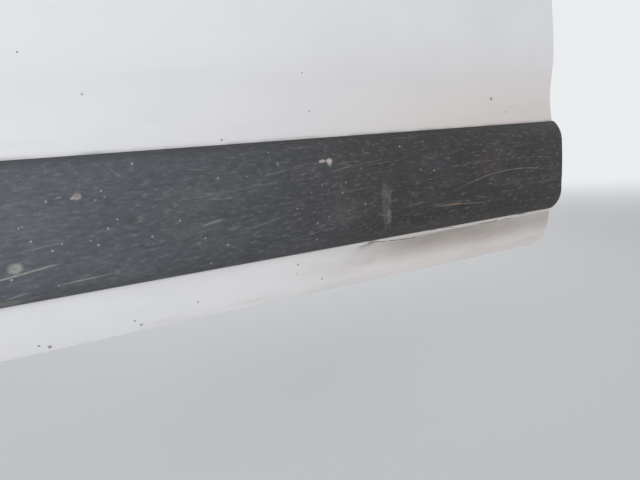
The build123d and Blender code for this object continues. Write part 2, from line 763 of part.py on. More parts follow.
# Mirror arm: a tapering bracket off the corner cover, ending in a barrel with the folding pivot
pivot_x = x_front - 130.0
pivot_y = -152.0
barrel_radius = 26.0
barrel_z = (belt_front_z + 33.0, belt_front_z + 93.0)
spigot_radius = 9.0
spigot_length = 24.0
hub_height = 34.0
arm_root = (122.0, 92.0)
arm_tip = (44.0, 52.0)
arm_z = belt_front_z + 67.0
with BuildPart() as mirror_arm:
    with BuildSketch(Plane.XZ.offset(40)):
        with Locations((pivot_x, arm_z)):
            RectangleRounded(*arm_root, 18)
    with BuildSketch(Plane.XZ.offset(-pivot_y - 12)):
        with Locations((pivot_x, (barrel_z[0] + barrel_z[1]) / 2)):
            RectangleRounded(*arm_tip, 14)
    loft()
    sheet(window_layer((-corner_cover_depth - seam_gap, reach)), everywhere, mode=Mode.SUBTRACT)
    with BuildSketch(Plane.XY.offset(barrel_z[0])):
        with Locations((pivot_x, pivot_y)):
            Circle(barrel_radius)
    extrude(amount=barrel_z[1] - barrel_z[0])
    with BuildSketch(Plane.XY.offset(barrel_z[1])):
        with Locations((pivot_x, pivot_y)):
            Circle(spigot_radius)
    extrude(amount=spigot_length)
finish(mirror_arm, "mirror_arm")

# Mirror head: a domed shell round two glasses, turning on the arm's spigot
head_y = (-186.0, -372.0)  # inner and outer edge
head_height = 340.0
head_z = (belt_front_z + 21.0, belt_front_z + 21.0 + head_height)
head_depth = 92.0
head_rim_x = pivot_x - head_depth / 2
head_wall = 3.0
head_taper = 9.0


def head_body(inset):
    """Domed block with the head's outline, drawn in by its wall, its back on the rim plane."""
    with BuildPart() as body:
        with BuildSketch(Plane.YZ.offset(head_rim_x)):
            with Locations(((head_y[0] + head_y[1]) / 2, (head_z[0] + head_z[1]) / 2)):
                RectangleRounded(
                    head_y[0] - head_y[1] - 2 * inset, head_z[1] - head_z[0] - 2 * inset, 46 - inset
                )
        extrude(amount=head_depth - inset, taper=head_taper)
        fillet(body.faces().sort_by(Axis.X)[-1].edges(), 24 - inset)
    return body.part


lens_region_y = (head_y[1] - 13.0, head_y[1] + 50.0)
lens_region_z = (head_z[0] + 146.0, head_z[0] + 166.0)
lens_depth = 26.0


def lens_block(grow):
    """Block that cuts the side indicator out of the head's outer front corner."""
    front_x = head_rim_x + head_depth
    return Location(
        (front_x - lens_depth / 2, (lens_region_y[0] + lens_region_y[1]) / 2, sum(lens_region_z) / 2)
    ) * Box(
        lens_depth + 2 * grow,
        lens_region_y[1] - lens_region_y[0] + 2 * grow,
        lens_region_z[1] - lens_region_z[0] + 2 * grow,
        mode=Mode.PRIVATE,
    )


head_solid = head_body(0)
head_hollow = head_body(head_wall)
with BuildPart() as mirror_head:
    add(head_solid)
    with BuildSketch(Plane.XY.offset(barrel_z[1] + seam_gap)):
        with Locations((pivot_x, pivot_y)):
            Circle(barrel_radius)
        with Locations((pivot_x, (pivot_y + head_y[0]) / 2 - 8)):
            Rectangle(2 * barrel_radius - 8, pivot_y - head_y[0] + 16)
    extrude(amount=hub_height)
    add(head_hollow, mode=Mode.SUBTRACT)
    bore((pivot_x, pivot_y, barrel_z[1] + spigot_length / 2), (0, 0, 1), spigot_radius + pin_fit, spigot_length + 2)
    add(lens_block(0), mode=Mode.SUBTRACT)
finish(mirror_head, "mirror_head")

with BuildPart() as indicator_lens:
    add(head_solid)
    add(lens_block(-seam_gap), mode=Mode.INTERSECT)
    add(head_body(head_wall), mode=Mode.SUBTRACT)
finish(indicator_lens, "indicator_lens")

# Mirror glasses, side by side in a bezel inside the rim
bezel_set = 5.0  # behind the rim plane
bezel_thickness = 5.0
pane_gap = 0.6
pane_thickness = 4.0
pane_margin = 16.0
panes = [  # name, lowest z, highest z
    ("wide_angle_mirror", head_z[0] + pane_margin, head_z[0] + 106.0),
    ("main_mirror", head_z[0] + 120.0, head_z[1] - pane_margin),
]
pane_y = (head_y[1] + pane_margin, head_y[0] - pane_margin)
pane_radius = 24.0
with BuildPart() as mirror_bezel:
    add(head_body(head_wall + seam_gap))
    with BuildSketch(Plane.YZ.offset(head_rim_x + bezel_set)) as window:
        with Locations(((head_y[0] + head_y[1]) / 2, (head_z[0] + head_z[1]) / 2)):
            Rectangle(2 * reach, 2 * reach)
        for name, low_z, high_z in panes:
            with Locations(((pane_y[0] + pane_y[1]) / 2, (low_z + high_z) / 2)):
                RectangleRounded(pane_y[1] - pane_y[0], high_z - low_z, pane_radius, mode=Mode.SUBTRACT)
    extrude(amount=bezel_thickness, mode=Mode.INTERSECT)
finish(mirror_bezel, "mirror_bezel")

for name, low_z, high_z in panes:
    with BuildPart() as pane:
        with BuildSketch(Plane.YZ.offset(head_rim_x + bezel_set + 1)):
            with Locations(((pane_y[0] + pane_y[1]) / 2, (low_z + high_z) / 2)):
                RectangleRounded(
                    pane_y[1] - pane_y[0] - 2 * pane_gap,
                    high_z - low_z - 2 * pane_gap,
                    pane_radius - pane_gap,
                )
        extrude(amount=pane_thickness)
    finish(pane, name)
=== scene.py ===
import math
from functools import reduce

import bpy
import numpy as np
from mathutils import Matrix, Vector


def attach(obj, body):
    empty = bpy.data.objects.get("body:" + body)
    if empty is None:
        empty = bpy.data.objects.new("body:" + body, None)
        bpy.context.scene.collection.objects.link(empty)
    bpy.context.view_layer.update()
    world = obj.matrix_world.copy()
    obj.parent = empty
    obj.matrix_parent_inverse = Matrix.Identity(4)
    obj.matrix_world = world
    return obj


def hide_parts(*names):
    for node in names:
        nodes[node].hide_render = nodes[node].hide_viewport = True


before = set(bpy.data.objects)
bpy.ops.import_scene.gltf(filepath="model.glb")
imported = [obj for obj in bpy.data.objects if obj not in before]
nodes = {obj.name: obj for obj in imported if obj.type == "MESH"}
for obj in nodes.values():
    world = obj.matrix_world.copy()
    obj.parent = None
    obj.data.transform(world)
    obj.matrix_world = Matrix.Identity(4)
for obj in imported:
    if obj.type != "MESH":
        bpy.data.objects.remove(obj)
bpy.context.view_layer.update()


# Outer skin
# One steel pressing, dished along its length, hemmed round the inner panel and painted white.
# A knock has left a long crease in the band under the side moulding.
skin_y = -0.085
skin_wall = 0.002
hem_width = 0.012
hem_depth = 0.0046
hem_gap = 0.0002
x_front = -0.020
x_rear = -1.170
door_bottom_z = -0.190
belt_front_z = 0.575
belt_rear_z = 0.635
belt_step = (-0.604, -0.434)
belt_eases_z = 0.485  # from here up, the grid's rows lean to the sill's line
fine_grid_x = -0.620  # in front of it the grid is fine, for the crease
bottom_front_radius = 0.030
bottom_rear_radius = 0.036
corner_spans = (0.15, 0.09)  # lengths over which the grid straightens again, rear and front
crease_z = -0.1085
crease_opens = (-0.560, -0.490)  # x over which it deepens from its rear tip
crease_closes = (-0.100, -0.052)  # x over which it ends behind the front edge
crease_foot = (-0.171, -0.122)  # z over which it eases out above the hem
crease_depth = 0.0085
crease_lip = 0.0012
kink_place = (-0.519, -0.108)
kink_depth = 0.0034
pull_depth = 0.0030


def arc_through(start, middle, end, count):
    """Points along the circle through three points: the angle at the circle's centre runs evenly."""
    a, b, c = (np.array(p, float) for p in (start, middle, end))
    chords = np.array([b - a, c - a])
    centre = a + np.linalg.solve(2 * chords, (chords**2).sum(axis=1))
    angles = np.unwrap([math.atan2(*(p - centre)[::-1]) for p in (a, b, c)])
    turn = np.linspace(angles[0], angles[2], count)
    return centre + np.hypot(*(a - centre)) * np.column_stack([np.cos(turn), np.sin(turn)])


def arc_on(line, end, count):
    """Points of the arc that leaves a line in its last direction and ends at a point."""
    start = line[-1]
    ahead = line[-1] - line[-2]
    ahead = ahead / np.hypot(*ahead)
    chord = np.array(end) - start
    side = np.array([-ahead[1], ahead[0]])
    radius = chord @ chord / (2 * chord @ side)
    centre = start + radius * side
    turn = 2 * math.atan2(chord @ side, chord @ ahead) * np.linspace(0, 1, count)[:, None]
    spoke = start - centre
    return centre + spoke * np.cos(turn) + np.array([-spoke[1], spoke[0]]) * np.sin(turn)


def skin_section():
    """Outboard offset and height of the door's section: a tuck, a flat seat, a hollow and a long belly."""
    line = arc_through((-0.046, -0.206), (-0.015, -0.150), (-0.007, -0.106), 60)
    line = np.vstack([line, np.linspace(line[-1], (0.001, 0.098), 40)[1:]])
    line = np.vstack([line, arc_through((0.001, 0.098), (-0.004, 0.148), (0.0, 0.196), 40)[1:]])
    for end in ((0.005, 0.270), (0.0, 0.360), (-0.038, 0.645)):
        line = np.vstack([line, arc_on(line, end, 60)[1:]])
    return line


section = skin_section()


def smooth_step(value, low, high):
    """Rises from 0 at low to 1 at high along a cubic with level ends."""
    share = np.clip((value - low) / (high - low), 0, 1)
    return share * share * (3 - 2 * share)


def hump(value, centre, width):
    """Bell curve of height 1 round a centre."""
    return np.exp(-(((value - centre) / width) ** 2))


def crease(x, z):
    """Inboard push of the dented band: a lip, a sharp fall under it, easing out before hem and front edge."""
    ledge = crease_z - 0.003 * hump(x, -0.44, 0.07)
    fading = 1 - 0.35 * smooth_step(x, -0.30, -0.10)
    length = smooth_step(x, *crease_opens) * fading * (1 - smooth_step(x, *crease_closes))
    fall = smooth_step(z, *crease_foot) * (1 - smooth_step(z, ledge - 0.012, ledge + 0.001))
    ripple = 0.12 * np.sin(x * 37 + 1.1) + 0.08 * np.sin(x * 83)
    lip = hump(z, ledge + 0.0025, 0.0035)
    kink = hump(x - 0.35 * (z + 0.11), kink_place[0], 0.012) * hump(z, kink_place[1], 0.008)
    pull = smooth_step(z, -0.170, -0.130) * (1 - smooth_step(z, -0.120, -0.100))
    pull = pull * hump(x + 0.62 * (z + 0.11), -0.552, 0.030)
    fold = crease_depth * fall * (1 + ripple) - crease_lip * lip
    return length * fold + kink_depth * kink + pull_depth * pull


def skin_points(x, z, depth=0.0):
    """Points of the skin at a depth under its outer face, with the crease pushed in."""
    out = np.interp(z, *section.T[::-1]) - depth
    return np.stack([x, skin_y - out + crease(x, z), z], axis=-1)


def stations(*spans):
    """Grid lines: each span runs from where the last one ended to its end, in equal steps."""
    line = [spans[0]]
    for end, count in spans[1:]:
        line += list(np.linspace(line[-1], end, count + 1)[1:])
    return np.array(line)


def belt_z(x):
    """Window sill's height: level, down a straight step with eased corners, level again."""
    ease = np.linspace(-0.011, 0.011, 9)
    return np.mean([np.interp(x + shift, belt_step, (belt_rear_z, belt_front_z)) for shift in ease], axis=0)


def opened(x, z, hole):
    """Move grid points so that a square-cornered hole in the grid takes its rounded outline."""
    centre_x, centre_z, half_length, half_height, radius, fade = hole
    near_x = np.clip(x - centre_x, -half_length, half_length)
    near_z = np.clip(z - centre_z, -half_height, half_height)
    gap = np.hypot(x - centre_x - near_x, z - centre_z - near_z)
    hub_x = np.clip(near_x, radius - half_length, half_length - radius)
    hub_z = np.clip(near_z, radius - half_height, half_height - radius)
    spoke = np.maximum(np.hypot(near_x - hub_x, near_z - hub_z), 1e-9)
    pull = np.maximum(1 - radius / spoke, 0) * (1 - smooth_step(gap, 0, fade))
    return x - pull * (near_x - hub_x), z - pull * (near_z - hub_z)


# centre x and z, half length, half height, corner radius, width over which the grid eases back
recess_hole = (-1.005, 0.440, 0.075, 0.039, 0.0354, 0.020)
lock_hole = (-1.084, 0.385, 0.0113, 0.0113, 0.0113, 0.0045)


def hole_edges(hole):
    """Low and high grid lines of a hole: along the door, then upwards."""
    return [(hole[axis] - hole[axis + 2], hole[axis] + hole[axis + 2]) for axis in (0, 1)]


def inside(x, z, hole):
    """True where a face's middle lies in the grid's square-cornered hole."""
    return (abs(x - hole[0]) < hole[2]) & (abs(z - hole[1]) < hole[3])


def put_mesh(name, points, faces, body, slot, material, smooth_angle=35.0):
    """Make a piece of points and faces, smooth but for its sharp edges, riding on a body."""
    mesh = bpy.data.meshes.new(name)
    mesh.from_pydata(np.asarray(points).reshape(-1, 3).tolist(), [], [list(map(int, f)) for f in faces])
    mesh.validate()
    mesh.update()
    mesh.shade_smooth()
    mesh.set_sharp_from_angle(angle=math.radians(smooth_angle))
    mesh.materials.append(material)
    piece = bpy.data.objects.new(name, mesh)
    bpy.context.scene.collection.objects.link(piece)
    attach(piece, body)
    return piece


def grid_faces(rows, columns, ringed=False, looped=False):
    """Quads of a grid of points stored row by row, closed round each row or over the rows if asked."""
    sizes = rows - (not looped), columns - (not ringed)
    row, column = np.meshgrid(*map(np.arange, sizes), indexing="ij")
    low, high = row * columns, (row + 1) % rows * columns
    after = (column + 1) % columns
    return np.stack([low + column, low + after, high + after, high + column], -1).reshape(-1, 4)


def feed(tree, inputs, values):
    """Give sockets their values or links."""
    for name, value in dict(values).items():
        if isinstance(value, Signal):
            tree.links.new(value.socket, inputs[name])
        else:
            inputs[name].default_value = value


class Signal:
    """A shader socket for use in sums: arithmetic on it adds Math nodes to its tree."""

    def __init__(self, tree, socket):
        self.tree = tree
        self.socket = socket

    def node(self, kind, settings=(), sockets=(), output=0):
        """Add a node: first its settings, then each socket's value or link. Gives one output."""
        made = self.tree.nodes.new(kind)
        for name, value in dict(settings).items():
            setattr(made, name, value)
        feed(self.tree, made.inputs, sockets)
        return Signal(self.tree, made.outputs[output])

    def math(self, operation, *others):
        return self.node("ShaderNodeMath", {"operation": operation}, enumerate((self, *others)))

    def vector(self, operation, *others, output=0):
        return self.node("ShaderNodeVectorMath", {"operation": operation}, enumerate((self, *others)), output)

    def __add__(self, other):
        return self.math("ADD", other)

    def __sub__(self, other):
        return self.math("SUBTRACT", other)

    def __rsub__(self, other):
        return self.math("MULTIPLY_ADD", -1.0, other)

    def __mul__(self, other):
        return self.math("MULTIPLY", other)

    def __truediv__(self, other):
        return self.math("DIVIDE", other)

    def __pow__(self, other):
        return self.math("POWER", other)

    __radd__ = __add__
    __rmul__ = __mul__

    def least(self, other):
        return self.math("MINIMUM", other)

    def most(self, other):
        return self.math("MAXIMUM", other)

    def rise(self, low, high):
        """0 below low, 1 above high, smooth between; falls if low is the greater."""
        sockets = {"Value": self, "From Min": low, "From Max": high}
        return self.node("ShaderNodeMapRange", {"interpolation_type": "SMOOTHSTEP"}, sockets)

    def stretched(self, *scale):
        """A vector scaled along its axes."""
        return self.vector("MULTIPLY", scale)

    def noise(self, scale, detail=3.0, roughness=0.5, distortion=0.0):
        """Noise over a vector, about 0.5 at its middle."""
        names = ("Vector", "Scale", "Detail", "Roughness", "Distortion")
        return self.node("ShaderNodeTexNoise", (), zip(names, (self, scale, detail, roughness, distortion)))

    def cells(self, scale, feature="F1"):
        """Distance over a vector to the nearest of scattered points, or to the edge of its cell."""
        return self.node("ShaderNodeTexVoronoi", {"feature": feature}, {"Vector": self, "Scale": scale})

    def mark(self, x, z, half_length, half_width, turn=0.0, ragged=0.0, soft=0.35):
        """Mask of a long or round mark in the side view: 1 inside an ellipse, 0 outside it."""
        place = {"Location": (x, 0, z), "Rotation": (0, -turn, 0), "Scale": (half_length, 1000, half_width)}
        local = self.node("ShaderNodeMapping", {"vector_type": "TEXTURE"}, {"Vector": self, **place})
        return (local.vector("LENGTH", output=1) + ragged).rise(1 + soft, 1 - soft)

    def stroke(self, from_x, from_z, to_x, to_z, half_width, ragged=0.0, soft=0.5):
        """Mask of a scratch with tapered ends between two points of the side view."""
        run = (to_x - from_x, to_z - from_z)
        middle = ((from_x + to_x) / 2, (from_z + to_z) / 2)
        return self.mark(*middle, math.hypot(*run) / 2, half_width, math.atan2(*run[::-1]), ragged, soft)

    def dots(self, rows, ragged, soft=0.3):
        """Mask of round marks in the side view, each given as (x, z, radius)."""
        flat = self.stretched(1, 0, 1)
        gaps = (flat.vector("DISTANCE", (x, 0, z), output=1) / radius for x, z, radius in rows)
        return (reduce(Signal.least, gaps) + ragged).rise(1 + soft, 1 - soft)

    def slanted(self, degrees, *scale):
        """A vector turned in the side view, then scaled along its axes."""
        turn = {"Vector": self, "Rotation": (0, math.radians(degrees), 0)}
        return self.node("ShaderNodeMapping", (), turn).stretched(*scale)

    def axes(self):
        """A vector's three numbers."""
        return [self.node("ShaderNodeSeparateXYZ", (), {0: self}, axis) for axis in range(3)]

    def blend(self, first, second):
        """Two colours mixed by this mask."""
        return self.node("ShaderNodeMix", {"data_type": "RGBA"}, {"Factor": self, 6: first, 7: second}, 2)

    def bump(self, depth, base=None):
        """A surface normal raised by this height times a depth in metres."""
        sockets = {"Height": self, "Distance": depth, "Strength": 1.0}
        if base:
            sockets["Normal"] = base
        return self.node("ShaderNodeBump", (), sockets)


def colour(red, green, blue):
    """Colour as the screen shows it, from 0 to 255, in the shader's linear values."""
    shares = (c / 255 for c in (red, green, blue))
    return *(c / 12.92 if c <= 0.04045 else ((c + 0.055) / 1.055) ** 2.4 for c in shares), 1.0


def coats(base, *rows):
    """A colour under coats laid in turn, each given as its mask, its share, and red, green and blue."""
    for mask, share, *tone in rows:
        base = (mask * share).blend(base, colour(*tone))
    return base


def finish_of(name, recipe, **fixed):
    """A material: a recipe turns object coordinates into sockets, and fixed values are set on the shader."""
    material = bpy.data.materials.new(name)
    material.use_nodes = True
    tree = material.node_tree
    shader = tree.nodes["Principled BSDF"]
    place = Signal(tree, tree.nodes.new("ShaderNodeTexCoord").outputs["Object"])
    feed(tree, shader.inputs, {socket.replace("_", " "): value for socket, value in fixed.items()})
    feed(tree, shader.inputs, recipe(place))
    return material


paint_chips = [  # x, z, radius
    (-0.202, 0.153, 0.0034), (-0.161, 0.124, 0.0017), (-0.981, 0.182, 0.0015), (-1.050, 0.237, 0.0014),
    (-0.789, 0.106, 0.0020), (-0.628, 0.145, 0.0015), (-0.638, 0.208, 0.0013), (-0.959, -0.166, 0.0016),
    (-0.950, -0.176, 0.0022), (-1.082, -0.180, 0.0029), (-1.095, -0.174, 0.0020), (-0.858, -0.155, 0.0017),
    (-0.675, -0.123, 0.0018), (-0.625, -0.161, 0.0020), (-0.677, -0.140, 0.0012), (-0.417, -0.113, 0.0025),
    (-0.192, -0.109, 0.0029),
]
paint_cracks = [  # from x and z, to x and z, half width
    (-0.546, -0.1120, -0.522, -0.1095, 0.0009), (-0.512, -0.1075, -0.478, -0.1095, 0.0011),
    (-0.486, -0.1090, -0.452, -0.1112, 0.0010), (-0.462, -0.1105, -0.424, -0.1125, 0.0010),
    (-0.378, -0.1020, -0.360, -0.1035, 0.0016), (-0.352, -0.1035, -0.305, -0.1065, 0.0006),
    (-0.244, -0.1085, -0.214, -0.1100, 0.0009), (-0.222, -0.1108, -0.192, -0.1092, 0.0011),
    (-0.176, -0.1088, -0.140, -0.1102, 0.0008), (-0.130, -0.1042, -0.100, -0.1048, 0.0010),
]


def skin_recipe(place):
    """White paint with chips, road grime and a cracked crease. Painted shade darkens and warms the skin low
    down towards the front, adds to the grime at the band's front, fills the crease under its ledge and the
    kink, and runs along the moulding's top seam.
    """
    x, _, z = place.axes()
    ragged = place.noise(420, 3, 0.7) - 0.5
    forward = x.rise(-1.0, -0.15)
    cloud = place.noise(4.2, 3).rise(0.38, 0.78)
    rub_through = place.slanted(3, 0.12, 1, 1).noise(30, 4, 0.6).rise(0.55, 0.82) * z.rise(0.42, 0.20)
    band = z.rise(-0.105, -0.113)
    # road grime in the band under the moulding, partly painted shade: see its share below
    dirt = place.slanted(4, 0.22, 1, 1).noise(26, 5, 0.62).rise(0.40, 0.78) * band
    # film: painted shade under the crease's ledge, heaviest at the top of the dented band and lighter near
    # the front edge
    film = band * x.rise(-0.62, -0.38) * z.rise(-0.170, -0.124) * (1 - x.rise(-0.28, -0.04) * 0.35)
    # dirt with a painted shadow along the seam over the moulding's top edge
    seam_dirt_and_shadow = z.rise(0.105, 0.0985) * z.rise(0.090, 0.095)
    seam_dirt_and_shadow = seam_dirt_and_shadow * place.stretched(0.3, 1, 1).noise(60, 3).rise(0.30, 0.70)
    smear = place.mark(-0.80, -0.176, 0.110, 0.008, 0.03, ragged * 1.2, 0.8)
    smear = smear * place.slanted(-2, 0.1, 1, 1).noise(70, 3).rise(0.35, 0.65)
    scratches = place.slanted(-9, 0.045, 1, 1).noise(95, 2, 0.6).rise(0.68, 0.80)
    scratches = scratches * place.noise(6, 2).rise(0.48, 0.62)
    specks = place.cells(85).rise(0.075, 0.030) * place.noise(17, 2).rise(0.56, 0.66)
    # painted shade spreading down and back from the kink over the dent
    painted_dent_shade = place.mark(-0.528, -0.1135, 0.020, 0.0044, 0.25, ragged * 1.6, 0.8)
    # painted shade in the crease's sharp kink
    kink = place.mark(-0.5170, -0.1065, 0.0095, 0.0042, 0.15, ragged * 2.2, 0.7)
    cracks = reduce(Signal.most, (place.stroke(*crack, ragged * 1.6) for crack in paint_cracks))
    bare = place.dots(paint_chips, ragged).rise(0.2, 0.9)
    paint = coats(
        colour(229, 230, 234),
        # painted shade: the skin low down is made darker and warmer towards the front, where the light falls
        # off
        (z.rise(0.33, 0.08), forward * 0.85 + 0.08, 218, 210, 206),
        (cloud, 0.28, 208, 208, 211),
        (rub_through, 0.10, 176, 170, 164),
        # road grime, with a share rising towards the front that also paints the shade of the tucked-under
        # band
        (dirt, forward * 0.50 + 0.06, 158, 149, 139),
        # painted shade under the crease's ledge
        (film, 0.74, 150, 142, 134),
        (seam_dirt_and_shadow, 0.42, 120, 116, 112),
        (smear, 0.20, 160, 148, 132),
        (scratches, 0.16, 150, 148, 146),
        (specks, 0.50, 120, 110, 98),
        (painted_dent_shade, 0.26, 120, 113, 106),
        (kink, 0.66, 112, 106, 99),
        (cracks, 0.78, 84, 77, 70),
        (bare, 0.66, 96, 90, 84),
    )
    damage = bare.most(cracks)
    normal = (1 - damage).bump(0.0002, place.noise(240, 2).bump(0.00002))
    return {"Base Color": paint, "Roughness": 0.30 + dirt * 0.2 + damage * 0.4, "Normal": normal}


outer_paint = finish_of("outer_paint", skin_recipe, Coat_Weight=0.35, Coat_Roughness=0.12)


def corner_hub(x, z):
    """Centre that the rounded outline turns about near a point, for the two bottom corners."""
    radius = np.where(x < (x_rear + x_front) / 2, bottom_rear_radius, bottom_front_radius)
    return np.clip(x, x_rear + radius, x_front - radius), np.maximum(z, door_bottom_z + radius)


def border(low_row, high_row, low_column, high_column, columns):
    """Indices round a rectangle of grid points, anticlockwise from its lower rear corner."""
    rows = np.arange(low_row, high_row + 1)
    cols = np.arange(low_column, high_column + 1)
    sides = [(low_row, c) for c in cols[:-1]] + [(r, high_column) for r in rows[:-1]]
    sides += [(high_row, c) for c in cols[:0:-1]] + [(r, low_column) for r in rows[:0:-1]]
    return np.array([r * columns + c for r, c in sides])


def skin_shell():
    """Closed skin: an outer and an inner grid, walls round the holes and at the sill, and a rolled hem."""
    roll = (hem_depth + skin_wall) / 2
    (lock_rear, lock_fore), (lock_foot, lock_top) = hole_edges(lock_hole)
    (recess_rear, recess_fore), (recess_foot, recess_top) = hole_edges(recess_hole)
    behind = ((lock_rear, 18), (recess_rear, 5), (lock_fore, 3), (recess_fore, 36))
    xs = stations(x_rear + roll, *behind, (fine_grid_x, 50), (x_front - roll, 140))
    corner = np.linspace(0, math.pi / 2, 17)
    foot = door_bottom_z + roll + (bottom_rear_radius - roll) * (1 - np.cos(corner))
    below = ((-0.100, 20), (0.100, 20), (lock_foot, 40), (lock_top, 8), (recess_foot, 2), (recess_top, 18))
    zs = np.concatenate([foot, stations(foot[-1], *below, (belt_rear_z, 26))[1:]])
    x, z = np.meshgrid(xs, zs)
    radii = (bottom_rear_radius, bottom_front_radius)
    for corner_x, radius, span, side in zip((x_rear, x_front), radii, corner_spans, (1, -1)):
        drop = np.clip(door_bottom_z + radius - z, 0, radius - roll)
        reach = radius - roll - np.sqrt((radius - roll) ** 2 - drop**2)
        x = x + side * reach * np.clip(1 - side * (x - corner_x) / span, 0, 1)
    z = z + (belt_z(x) - belt_rear_z) * smooth_step(z, belt_eases_z, belt_rear_z)
    recess_x, recess_z = opened(x, z, recess_hole)
    lock_x, lock_z = opened(x, z, lock_hole)
    from_lock = np.maximum(abs(x - lock_hole[0]) - lock_hole[2], abs(z - lock_hole[1]) - lock_hole[3])
    clear = smooth_step(from_lock, 0, lock_hole[-1])
    x, z = lock_x + (recess_x - x) * clear, lock_z + (recess_z - z) * clear
    rows, columns = x.shape
    face_x, face_z = np.meshgrid((xs[:-1] + xs[1:]) / 2, (zs[:-1] + zs[1:]) / 2)
    open_faces = inside(face_x, face_z, recess_hole) | inside(face_x, face_z, lock_hole)
    outer_faces = grid_faces(rows, columns)[~open_faces.ravel()]
    count = rows * columns
    inner_faces = outer_faces[:, ::-1] + count
    points = [skin_points(x, z).reshape(-1, 3), skin_points(x, z, skin_wall).reshape(-1, 3)]
    faces = [outer_faces, inner_faces]
    for hole in (recess_hole, lock_hole):
        across, up = hole_edges(hole)
        row_span = [abs(zs - edge).argmin() for edge in up]
        column_span = [abs(xs - edge).argmin() for edge in across]
        loop = border(*row_span, *column_span, columns)
        after = np.roll(loop, -1)
        faces.append(np.stack([loop, after, after + count, loop + count], -1))
    rim = border(0, rows - 1, 0, columns - 1, columns)
    rim_x, rim_z = x.ravel()[rim], z.ravel()[rim]
    hub_x, hub_z = corner_hub(rim_x, rim_z)
    away = np.maximum(np.hypot(rim_x - hub_x, rim_z - hub_z), 1e-9)
    out_x, out_z = (rim_x - hub_x) / away, (rim_z - hub_z) / away
    at_sill = (rim >= (rows - 1) * columns + 1) & (rim < rows * columns - 1)
    turns = np.linspace(0, math.pi, 7)[1:]
    hem = [(roll - roll * math.sin(t), roll - roll * math.cos(t)) for t in turns]
    hem += [(hem_width, 2 * roll), (hem_width, hem_depth)]
    hem += [(skin_wall, hem_depth), (skin_wall, skin_wall + hem_gap)]
    before = rim
    start = 2 * count
    for step, (inset, depth) in enumerate(hem):
        shift = np.where(at_sill, 0, roll - inset)
        level = np.where(at_sill, skin_wall * (step + 1) / (len(hem) + 1), depth)
        points.append(skin_points(rim_x + out_x * shift, rim_z + out_z * shift, level))
        ring = start + step * len(rim) + np.arange(len(rim))
        faces.append(np.stack([np.roll(before, -1), before, ring, np.roll(ring, -1)], -1))
        before = ring
    faces.append(np.stack([np.roll(before, -1), before, rim + count, np.roll(rim, -1) + count], -1))
    faces = np.vstack(faces)
    used, renumbered = np.unique(faces, return_inverse=True)
    return np.vstack(points)[used], renumbered.reshape(faces.shape)


skin = put_mesh("skin_pressing", *skin_shell(), "door", "body_paint", outer_paint)
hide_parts("outer_skin")


# Side moulding
# One long plank of grained dark grey plastic, moulded with a rounded brow and chin and clipped to
# the door. Sun has chalked it, and years of car parks have scratched it.
moulding_top_z = 0.098
moulding_foot_z = -0.102
moulding_depth = 0.028
moulding_ends = (-1.169, -0.021)
moulding_seam = 0.0003
moulding_end_radius = 0.0015
moulding_stations = 230


def moulding_section(inset):
    """Outline of the moulding's section, (outboard, height), drawn in all round by an inset."""
    top, foot, face = moulding_top_z - inset, moulding_foot_z + inset, moulding_depth - inset
    brow = arc_through((0.005 - inset, top), (face - 0.009, top - 0.016), (face - 0.001, top - 0.044), 24)
    bulge = arc_through(brow[-1], (face, top - 0.075), (face - 0.002, foot + 0.054), 16)
    chin = arc_through(bulge[-1], (face - 0.011, foot + 0.018), (-0.002 - inset, foot), 24)
    back = np.array([(-0.007 + moulding_seam, foot), (0.001 + moulding_seam, top)])
    return np.vstack([brow, bulge[1:], chin[1:], back])


def tube_faces(rows, columns):
    """Quads of a tube of rings, and one face over each end."""
    ring = list(range(columns))
    last = [(rows - 1) * columns + index for index in ring]
    return [*grid_faces(rows, columns, ringed=True), ring[::-1], last]


def capped_run(profiles, lines):
    """Tube through a row of closed profiles, each standing at its own place along the door."""
    rings = [np.column_stack([np.full(len(ring), line), ring]) for line, ring in zip(lines, profiles)]
    return np.vstack(rings), tube_faces(len(rings), len(rings[0]))


def moulding_plank():
    """The section run along the door in 5 mm steps, its two ends rounded off by a small radius."""
    (rear_x, front_x), soft = moulding_ends, moulding_end_radius
    turns = np.linspace(0, math.pi / 2, 6)
    rear = [(rear_x + soft * (1 - math.sin(t)), soft * (1 - math.cos(t))) for t in turns[::-1]]
    front = [(front_x - soft * (1 - math.sin(t)), soft * (1 - math.cos(t))) for t in turns]
    middle = [(x, 0.0) for x in np.linspace(rear_x + soft, front_x - soft, moulding_stations)[1:-1]]
    lines, insets = zip(*(rear + middle + front))
    sections = (moulding_section(inset).T for inset in insets)
    return capped_run([np.column_stack([skin_y - out, height]) for out, height in sections], lines)


